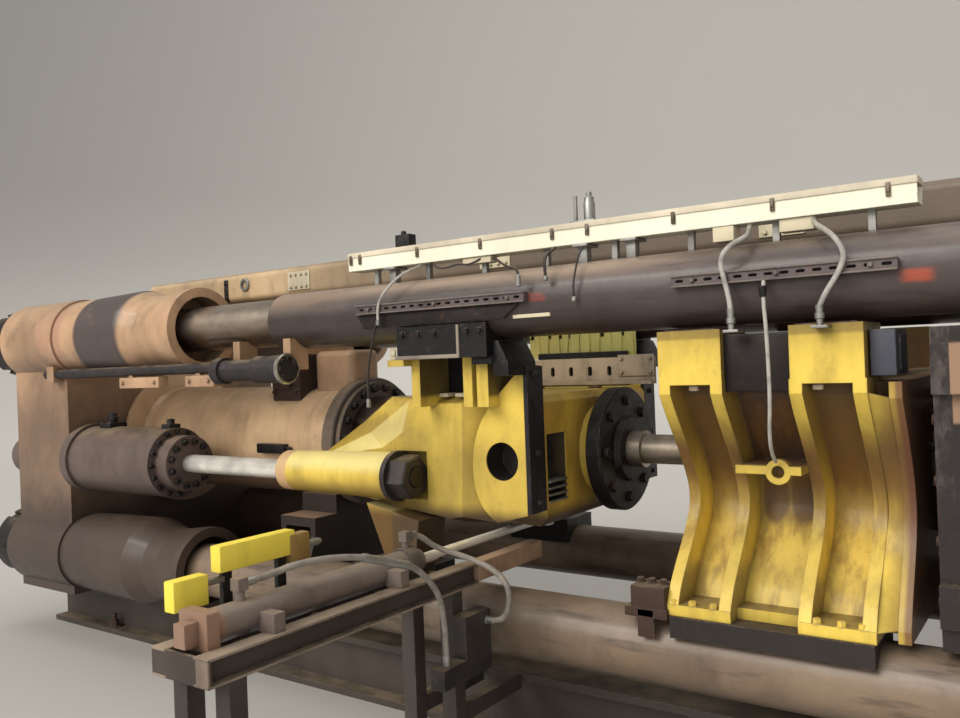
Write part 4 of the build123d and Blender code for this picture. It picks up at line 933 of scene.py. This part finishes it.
class PRESS_OT_cylinder_fittings(PressOperator, bpy.types.Operator):
    """Fit the manifold, the boxes, the clamps and the ports on the main, pilot and side cylinders"""

    bl_idname = "press.cylinder_fittings"
    bl_label = "Cylinder fittings"

    def execute(self, context):
        work = Work()
        work.block((-2.72, -0.34, AXIS + 0.38), (-2.36, 0.16, AXIS + 0.8), 0.012)
        work.block((-2.66, -0.4, AXIS + 0.5), (-2.44, -0.33, AXIS + 0.74), 0.01)
        work.turn((-2.55, -0.4, AXIS + 0.62), -BACK, [(0, 0), (0, 0.07), (0.05, 0.07), (0.06, 0.05), (0.11, 0.05),
                                                     (0.12, 0)], 24)
        for x in (-2.68, -2.4):
            for z in (AXIS + 0.46, AXIS + 0.76):
                work.head((x, -0.34, z), -BACK, 0.04)
        work.piece("valve_block", "rusty", replaces=["valve_manifold"])
        for left, right in ((-3.55, -2.97), (-2.61, -2.24)):
            work.block((left, -1.37, 2.45), (right, -1.27, 2.545), 0.01)
            work.block((left + 0.1, -1.34, 2.54), (left + 0.16, -1.3, 2.6), 0.006)
            for x in (left + 0.06, right - 0.06):
                work.head((x, -1.37, 2.5), -BACK, 0.03)
        work.piece("pipe_clamps", "tan")
        work.block((-2.72, -0.555, 1.82), (-2.36, -0.485, 1.905), 0.008)
        work.turn((-2.36, -0.52, 1.862), ALONG, [(0, 0), (0, 0.02), (0.05, 0.02), (0.06, 0.012), (0.06, 0)], 16)
        work.piece("cylinder_switch_box", "black")
        low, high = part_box("pilot_cylinder")
        spot = Vector((high.x, (low.y + high.y) / 2, AXIS + 0.672))
        work.turn(spot - ALONG * 0.03, ALONG, [(0, 0.1075), (0, 0.118), (0.024, 0.118), (0.032, 0.11), (0.032, 0.1)],
                  40)
        work.piece("pilot_rim", "steel")
        work.ring_of_heads(spot - ALONG * 0.002, ALONG, 0.082, 8, 0.026)
        work.piece("pilot_bolts", "black")
        for side in (NEAR, FAR):
            middle = Vector((-4.2, side * TIE_Y, SIDE_AXIS + 0.3))
            work.block(middle + Vector((-0.09, -0.09, 0)), middle + Vector((0.09, 0.09, 0.05)), 0.008)
            work.turn(middle + UP * 0.05, UP, [(0, 0), (0, 0.05), (0.05, 0.05), (0.055, 0.04), (0.09, 0.04),
                                               (0.09, 0.026), (0.07, 0.024), (0.07, 0)], 24)
            for dx in (-0.065, 0.065):
                for dy in (-0.065, 0.065):
                    work.head(middle + Vector((dx, dy, 0.05)), UP, 0.024)
            front = Vector((-3.29, side * TIE_Y, SIDE_AXIS + 0.295))
            work.block(front + Vector((-0.06, -0.06, 0)), front + Vector((0.06, 0.06, 0.05)), 0.008)
            work.turn(front + UP * 0.05, UP, [(0, 0), (0, 0.034), (0.04, 0.034), (0.045, 0.028), (0.045, 0)], 20)
        work.piece("side_cylinder_ports", "black")
        return {"FINISHED"}


class PRESS_OT_crosshead_fittings(PressOperator, bpy.types.Operator):
    """Fit the shoe frames, guards, shims and bolts on the crosshead"""

    bl_idname = "press.crosshead_fittings"
    bl_label = "Crosshead fittings"

    def execute(self, context):
        bottom = AXIS + 0.704
        work = Work()
        for side in (NEAR, FAR):
            face = side * 1.26
            work.block((-0.408, face - 0.014, bottom - 0.002), (0.14, face + 0.014, bottom + 0.024), 0.002)
            work.block((0.12, face - 0.012, bottom + 0.02), (0.14, face + 0.012, bottom + 0.215), 0.002)
        work.piece("shoe_frames", worn_paint("shoe_frame_paint", shade(150, 138, 124), rust=0.3),
                   "crosshead_body")
        for side in (NEAR, FAR):
            outline = [(x, side * 1.2, z) for x, z in (
                (0.352, bottom - 0.13), (0.352, bottom + 0.1), (0.4, bottom + 0.1), (0.47, bottom - 0.04),
                (0.475, bottom - 0.13))]
            work.sheet(outline, BACK * -side, 0.34, 0.012)
            work.block((0.2, side * 1.16 - 0.06, bottom - 0.05), (0.36, side * 1.16 + 0.06, bottom + 0.001), 0.008)
        work.piece("shoe_wipers", "black", body="crosshead_body")
        for side in (NEAR, FAR):
            for x in (-0.34, -0.2, -0.06, 0.2, 0.3):
                work.head((x, side * 1.26, bottom + 0.17), BACK * side, 0.036)
            for x in (-0.86, -0.7, -0.5, -0.34):
                work.head((x, side * 1.26, LOWER + 0.24), BACK * side, 0.04)
        work.piece("shoe_bolts", "black", body="crosshead_body")
        work.block((-0.525, -1.19, bottom), (-0.455, -1.12, bottom + 0.085), 0.008)
        work.block((-0.51, -1.2, bottom + 0.03), (-0.47, -1.185, bottom + 0.07), 0.003)
        work.piece("shoe_grease_block", "cream", body="crosshead_body")
        top = AXIS + 0.432
        for x, wide in ((-0.29, 0.1), (-0.12, 0.12), (0.045, 0.08)):
            for side in (NEAR, FAR):
                work.block((x - wide / 2, side * 0.86 - 0.05, top - 0.004),
                           (x + wide / 2, side * 0.86 + 0.05, top + 0.026), 0.01)
        work.piece("crosshead_pads", "cream", body="crosshead_body")
        for side in (NEAR, FAR):
            for z in (1.6, 1.645, 1.69, 1.735):
                work.block((0.42, side * 0.65 - 0.12, z), (0.492, side * 0.65 + 0.12, z + 0.016), 0.003)
        work.piece("recess_shims", "zinc", body="crosshead_body")
        for side in (NEAR, FAR):
            for z in (1.62, 1.95, 2.28, 2.48):
                work.head((0.482, side * 0.9, z), ALONG, 0.034)
        work.piece("disc_and_plate_bolts", "black", body="crosshead_body")
        for i, tilt in enumerate((0.02, -0.01, 0.012, -0.02, 0.006, 0.0, -0.012, 0.016, -0.006, 0.01)):
            x = -0.6 + i * 0.101
            work.sheet([(x, 0.792 + abs(tilt), bottom - 0.03), (x + 0.09 + tilt, 0.792, bottom - 0.03),
                        (x + 0.092, 0.792, bottom + 0.2), (x + tilt, 0.792 + abs(tilt), bottom + 0.2)], BACK, 0.012)
        work.block((-0.6, 0.806, bottom + 0.14), (0.4, 0.822, bottom + 0.18), 0.003)
        work.block((-0.61, 0.806, bottom - 0.02), (0.42, 0.814, bottom + 0.19), 0.002)
        # A lighter copy of the yellow paint, as painted light on the guard that the sleeve shades.
        work.piece("far_shoe_guard", worn_paint("shoe_guard_paint", shade(255, 240, 150), rust=0.3, dirt_and_shade=0.3, dust=0.0,
                                              tone=0.9, corner=0.04),
                   "crosshead_body")
        # Painted shade: dark webs close the gaps between the shoe legs, and a dark plate backs the slotted bar's
        # openings.
        for side in (NEAR, FAR):
            a, b = sorted((side * 0.78, side * 0.76))
            work.block((-0.5, a, 2.3), (0.36, b, 2.62), 0.004)
        low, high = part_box("slotted_bar")
        work.block((low.x + 0.03, high.y, low.z + 0.03), (high.x - 0.02, high.y + 0.006, high.z - 0.03), 0.001)
        work.piece("shoe_leg_webs", "black", body="crosshead_body")
        work.block((0.5, 0.296, 2.42), (0.8, 0.306, 2.585), 0.004)
        for x, z in ((0.53, 2.45), (0.53, 2.555), (0.77, 2.45), (0.77, 2.555)):
            work.head((x, 0.296, z), -BACK, 0.024)
        work.piece("bar_end_plate", NODES["slotted_bar"].data.materials[0], "crosshead_body")
        return {"FINISHED"}


class PRESS_OT_housing_fittings(PressOperator, bpy.types.Operator):
    """Fit the foot bolts, the shoe clamps, the box, the rim webs and the bridges on the container housing"""

    bl_idname = "press.housing_fittings"
    bl_label = "Housing fittings"

    def execute(self, context):
        low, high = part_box("container_housing")
        foot = low.z + 0.06
        work = Work()
        for side in (NEAR, FAR):
            for along in (0.04, 0.14, 0.26, 0.8, 0.92, 1.02):
                work.head((low.x + along, side * 1.225, foot), UP, 0.04)
        work.piece("housing_foot_bolts", "yellow", body="container_body")
        for side in (NEAR, FAR):
            a, b = sorted((side * 1.28, side * 0.86))
            work.block((1.26, a, 1.09), (1.52, b, 1.15), 0.01)
            c, d = sorted((side * 1.28, side * 1.1))
            work.block((1.3, c, 1.13), (1.51, d, 1.27), 0.014)
            work.block((1.34, c, 0.98), (1.44, c + 0.012, 1.14), 0.004)
            for x in (1.33, 1.4, 1.47):
                work.head((x, side * 1.19, 1.27), UP, 0.04)
        work.piece("shoe_clamps", "rusty", body="container_body")
        work.block((2.6, -1.18, 2.43), (2.72, -0.86, 2.66), 0.01)
        work.block((2.72, -1.1, 2.46), (2.727, -0.94, 2.63), 0.002)
        work.piece("housing_switch_box", worn_paint("switch_box_paint", shade(64, 66, 78), rust=0.2),
                   "container_body")
        for x in (1.665, 2.335):
            work.block((x - 0.026, -1.14, 2.362), (x + 0.026, -1.1, 2.392), 0.01)
        work.piece("pocket_caps", "cream", body="container_body")
        rib = ((1.238, 1.17), (1.09, 1.385), (0.93, 1.56), (0.825, 1.72), (0.91, 1.9), (1.09, 2.14), (1.238, 2.35))
        flange = ((1.174, 1.18), (1.06, 1.37), (0.952, 1.54), (0.872, 1.72), (0.925, 1.9), (1.02, 2.1), (1.174, 2.32))
        for side in (NEAR, FAR):
            rings = []
            for x, outline, inset in ((2.59, rib, 0), (2.684, flange, 0), (2.684, flange, 0.04), (2.59, rib, 0.04)):
                route = [(x, side * (y - inset), z) for y, z in outline]
                rings.append([work.mesh.verts.new(v.co) for v in line_mesh("rim_web_line", route).vertices])
            for one, two in zip(rings, rings[1:] + rings[:1]):
                for i in range(len(one) - 1):
                    work.mesh.faces.new((one[i], one[i + 1], two[i + 1], two[i]))
            for end in (0, -1):
                work.mesh.faces.new([ring[end] for ring in rings])
        work.piece("rim_webs", NODES["container_housing"].data.materials[0], "container_body")
        work.ring_of_heads((high.x, 0, AXIS), ALONG, 0.4, 12, 0.05)
        work.ring_of_heads((low.x, 0, AXIS), -ALONG, 0.4, 12, 0.05)
        work.piece("liner_ring_bolts", "black", body="container_body")
        for side in (NEAR, FAR):
            a, b = sorted((side * 1.0, side * 1.245))
            for x in (1.55, 2.26):
                work.block((x, a, 2.7), (x + 0.3, b, 2.706), 0.002)
        work.piece("block_wear_pads", "rusty", body="container_body")
        for side in (NEAR, FAR):
            a, b = sorted((side * 1.2, side * 0.9))
            work.block((1.86, a, 2.36), (2.22, b, 2.67), 0.012)
        work.piece("block_bridges", oiled("bridge_steel", shade(36, 26, 24), light=(0.05, 0.04, 0.04), dust=0.1),
                   "container_body")
        return {"FINISHED"}


class PRESS_OT_loader_fittings(PressOperator, bpy.types.Operator):
    """Fit the switch guards, the gland, the beams and the hoses of the transfer cylinder"""

    bl_idname = "press.loader_fittings"
    bl_label = "Transfer cylinder fittings"

    def execute(self, context):
        c = context.scene.press_cable
        beam = 1.308
        work = Work()
        work.block((-0.16, -3.3, beam + 0.12), (-0.08, -3.1, beam + 0.27), 0.01)
        work.block((-0.17, -3.02, beam + 0.25), (-0.09, -2.52, beam + 0.385), 0.01)
        work.piece("guard_boxes", "guard", replaces=["switch_guards"])
        work.block((-0.15, -2.56, beam + 0.2), (-0.08, -2.42, beam + 0.36), 0.012)
        work.piece("guard_end", "dull")
        for y, top in ((-3.19, 0.13), (-2.96, 0.26), (-2.6, 0.26)):
            work.block((-0.145, y - 0.03, beam), (-0.115, y + 0.03, beam + top), 0.004)
        work.piece("guard_posts", "black")
        work.block((-0.14, -3.12, beam + 0.2), (-0.11, -2.98, beam + 0.23), 0.004)
        work.turn((-0.125, -2.42, beam + 0.28), BACK, [(0, 0), (0, 0.02), (0.1, 0.02), (0.12, 0.012), (0.12, 0)], 18)
        work.piece("switch_arms", "zinc")
        work.turn((0.1, -1.77, 1.38), BACK, [(-0.1, 0.086), (-0.1, 0.098), (-0.004, 0.098), (0, 0.09), (0, 0.07)], 36)
        work.piece("barrel_gland", "grey")
        # Painted highlight: the flange edges and the end plate are lighter than the beams.
        for x in (-0.105, 0.205):
            for z in (1.1775, 1.298):
                work.block((x - 0.002, -3.412, z), (x + 0.102, -1.372, z + 0.0125), 0.003)
        work.block((0.22, -3.412, 1.18), (0.307, -3.4, 1.309), 0.003)
        work.piece("beam_flange_highlights", worn_paint("beam_flange_highlight_paint", shade(152, 134, 118), dirt_and_shade=1.3))
        work.block((0.205, -1.371, 1.19), (0.305, -0.6, 1.308), 0.006)
        work.block((0.215, -0.6, 1.2), (0.295, -0.585, 1.3), 0.004)
        work.piece("guide_beam", worn_paint("guide_beam_paint", shade(176, 142, 116), rust=0.6))
        back = [(0.1, -3.03, 1.54), (0.1, -2.89, 1.54), (0.175, -2.74, 1.585), (0.24, -2.44, 1.565),
                (0.328, -2.08, 1.465), (0.355, -1.91, 1.325), (0.355, -1.79, 1.14), (0.355, -1.79, 0.8)]
        front = [(0.1, -1.79, 1.54), (0.1, -1.71, 1.54), (0.16, -1.6, 1.43), (0.29, -1.49, 1.375),
                 (0.51, -1.45, 1.295), (0.595, -1.45, 1.185), (0.57, -1.445, 1.05), (0.5, -1.44, 0.985),
                 (0.405, -1.44, 0.985)]
        nut = [(0, 0), (0, 0.026), (0.012, 0.026), (0.014, 0.021), (0.06, 0.022), (0.064, 0.0185), (0.064, 0.017)]
        for name, route, length, sleeve in (("back_hose", back, 1.76, (0.45, 0.62)), ("front_hose", front, 1.09, ())):
            for end, inward in ((route[0], route[1]), (route[-1], route[-2])):
                end, away = Vector(end), (Vector(inward) - Vector(end)).normalized()
                work.turn(end - away * 0.004, away, nut, 24)
            if sleeve:
                steps = [v.co for v in line_mesh(name + "_guide", route).vertices]
                first, last = (steps[int(part * (len(steps) - 1))] for part in sleeve)
                long = (last - first).length
                work.turn(first, last - first, [
                    (0, 0.0175), (0, 0.023), (0.03, 0.026), (0.05, 0.023), (long - 0.05, 0.023),
                    (long - 0.03, 0.026), (long, 0.023), (long, 0.0175)], 24)
            ends = work.piece(name + "_ends", "zinc")
            cable(name, route, c.hose, "rubber",
                  replaces=["loader_hoses"], with_pieces=[ends])
        return {"FINISHED"}


class PRESS_OT_frame_bolts(PressOperator, bpy.types.Operator):
    """Bolt the platens, the die frame, the cylinder tail and the bed down"""

    bl_idname = "press.frame_bolts"
    bl_label = "Frame bolts"

    def execute(self, context):
        across = context.scene.press_hardware.anchor_nut
        low = 0.05
        work = Work()
        for x in (-4.6, 4.6):
            for y in (-0.85, 0.85):
                work.turn((x, y, low), UP, [(0, 0), (0, 0.07), (0.012, 0.07), (0.012, 0)], 24)
                work.head((x, y, low + 0.01), UP, across, 0.06, False)
                work.turn((x, y, low + 0.06), UP, [(0, 0), (0, 0.024), (0.07, 0.024), (0.075, 0.02), (0.075, 0)], 20)
        work.piece("anchor_nuts", "rusty")
        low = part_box("die_frame")[0]
        for side in (NEAR, FAR):
            for x in (3.0, 3.22, 3.44):
                for z in (1.24, 2.5):
                    work.head((x, side * 1.2, z), BACK * side, 0.06)
        for z in (1.3, 1.6, 1.9, 2.2, 2.5):
            for y in (-1.0, 1.0):
                work.head((low.x, y, z), -ALONG, 0.05)
        work.piece("die_frame_bolts", "rusty")
        work.ring_of_heads((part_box("front_platen")[1].x, 0, AXIS), ALONG, 0.55, 16, 0.06)
        work.ring_of_heads((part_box("main_cylinder")[0].x, 0, AXIS), -ALONG, 0.4, 16, 0.06)
        work.piece("platen_bolts", "black")
        return {"FINISHED"}


class PRESS_OT_stage(PressOperator, bpy.types.Operator):
    """Set the plain pale floor, the soft studio light and the camera"""

    bl_idname = "press.stage"
    bl_label = "Stage"

    def execute(self, context):
        scene = context.scene
        s = scene.press_stage
        work = bmesh.new()
        steps = 96
        reach, bend = 30, 12
        profile = [(0, 0), (12, 0), (reach, 0)]
        for degrees in range(15, 91, 15):
            a = math.radians(degrees)
            profile.append((reach + bend * math.sin(a), bend - bend * math.cos(a)))
        profile.append((reach + bend, 36))
        rings = [
            [work.verts.new((r * math.cos(a), r * math.sin(a), z)) for a in
             (math.tau * i / steps for i in range(steps))] if r else [work.verts.new((0, 0, 0))]
            for r, z in profile
        ]
        for one, two in zip(rings, rings[1:]):
            for i in range(steps):
                j = (i + 1) % steps
                work.faces.new(dict.fromkeys((one[i % len(one)], two[i], two[j], one[j % len(one)])))
        mesh = bpy.data.meshes.new("studio_floor")
        work.to_mesh(mesh)
        work.free()
        mesh.shade_smooth()
        p = Paint("studio_floor")
        p.tint = p.mix(p.z.step(0.0, 10.0), tuple(s.floor), tuple(s.wall))
        p.lay(p.x.step(-32, 14) * p.z.step(0.0, 6.0) * 0.4, (0.3, 0.29, 0.28))
        p.lay(p.noise(0.3, 3).step(0.3, 0.7) * 0.05, tuple(c * 0.7 for c in s.floor))
        mesh.materials.append(p.finish(0.8 + p.noise(3, 2) * 0.1))
        floor = bpy.data.objects.new("studio_floor", mesh)
        scene.collection.objects.link(floor)
        floor.visible_shadow = False  # the lamps stand behind its wall

        world = bpy.data.worlds.new("soft_light")
        world.use_nodes = True
        sky = world.node_tree.nodes["Background"]
        sky.inputs[0].default_value = (0.96, 0.98, 1.0, 1)
        sky.inputs[1].default_value = s.fill
        scene.world = world
        for name, from_there, power, spread, tone in (
            ("key_light", (-0.32, -0.8, 0.62), s.key, 38, (1.0, 0.96, 0.89)),
            ("top_light", (0.15, 0.1, 1.0), s.top, 60, (1.0, 0.97, 0.92)),
            ("front_light", (0.42, -0.9, 0.1), s.front, 50, (1.0, 0.97, 0.93)),
        ):
            light = bpy.data.lights.new(name, "SUN")
            light.energy = power
            light.angle = math.radians(spread)
            light.color = tone
            lamp = bpy.data.objects.new(name, light)
            lamp.location = Vector(from_there) * 12
            lamp.rotation_euler = (-Vector(from_there)).to_track_quat("-Z", "Y").to_euler()
            scene.collection.objects.link(lamp)

        yaw, pitch, roll = (math.radians(a) for a in (35.287, 0.205, 2.098))
        ahead = Vector((-math.sin(yaw), math.cos(yaw), 0))
        right = Vector((math.cos(yaw), math.sin(yaw), 0))
        down = -UP
        tilted_ahead = ahead * math.cos(pitch) - down * math.sin(pitch)
        tilted_down = down * math.cos(pitch) + ahead * math.sin(pitch)
        side = right * math.cos(roll) + tilted_down * math.sin(roll)
        top = right * math.sin(roll) - tilted_down * math.cos(roll)
        back = -tilted_ahead
        lens = bpy.data.cameras.new("photo_camera")
        lens.lens = 32.475
        lens.sensor_width = 36
        lens.clip_end = 200
        camera = bpy.data.objects.new("photo_camera", lens)
        place = (3.5, -5.784, 2.569)
        camera.matrix_world = Matrix([(side[i], top[i], back[i], place[i]) for i in range(3)] + [(0, 0, 0, 1)])
        scene.collection.objects.link(camera)
        scene.camera = camera
        scene.view_settings.view_transform = "Standard"
        return {"FINISHED"}


OPERATORS = (
    PRESS_OT_finishes,
    PRESS_OT_cylinder_hardware,
    PRESS_OT_tray_fittings,
    PRESS_OT_tray_cables,
    PRESS_OT_rail_shade_and_lips,
    PRESS_OT_header_fittings,
    PRESS_OT_cylinder_fittings,
    PRESS_OT_crosshead_fittings,
    PRESS_OT_housing_fittings,
    PRESS_OT_loader_fittings,
    PRESS_OT_frame_bolts,
    PRESS_OT_stage,
)


class PRESS_PT_panel(bpy.types.Panel):
    """Lists the press's settings and pieces"""

    bl_idname = "PRESS_PT_panel"
    bl_label = "Extrusion press"
    bl_space_type = "VIEW_3D"
    bl_region_type = "UI"
    bl_category = "Press"

    def draw(self, context):
        for group in SETTINGS:
            settings = getattr(context.scene, group)
            box = self.layout.box()
            for name in type(settings).__annotations__:
                box.prop(settings, name)
        for operator in OPERATORS:
            self.layout.operator(operator.bl_idname)


SETTINGS = {
    "press_finish": FinishSettings,
    "press_hardware": HardwareSettings,
    "press_cable": CableSettings,
    "press_stage": StageSettings,
}


def register():
    for group, kind in SETTINGS.items():
        bpy.utils.register_class(kind)
        setattr(bpy.types.Scene, group, bpy.props.PointerProperty(type=kind))
    for kind in (*OPERATORS, PRESS_PT_panel):
        bpy.utils.register_class(kind)


def unregister():
    for kind in reversed((*OPERATORS, PRESS_PT_panel)):
        bpy.utils.unregister_class(kind)
    for group, kind in SETTINGS.items():
        delattr(bpy.types.Scene, group)
        bpy.utils.unregister_class(kind)


def main():
    register()
    for operator in OPERATORS:
        module, name = operator.bl_idname.split(".")
        if getattr(getattr(bpy.ops, module), name)() != {"FINISHED"}:
            raise RuntimeError(operator.bl_label + " did not finish")


if __name__ == "__main__":
    main()
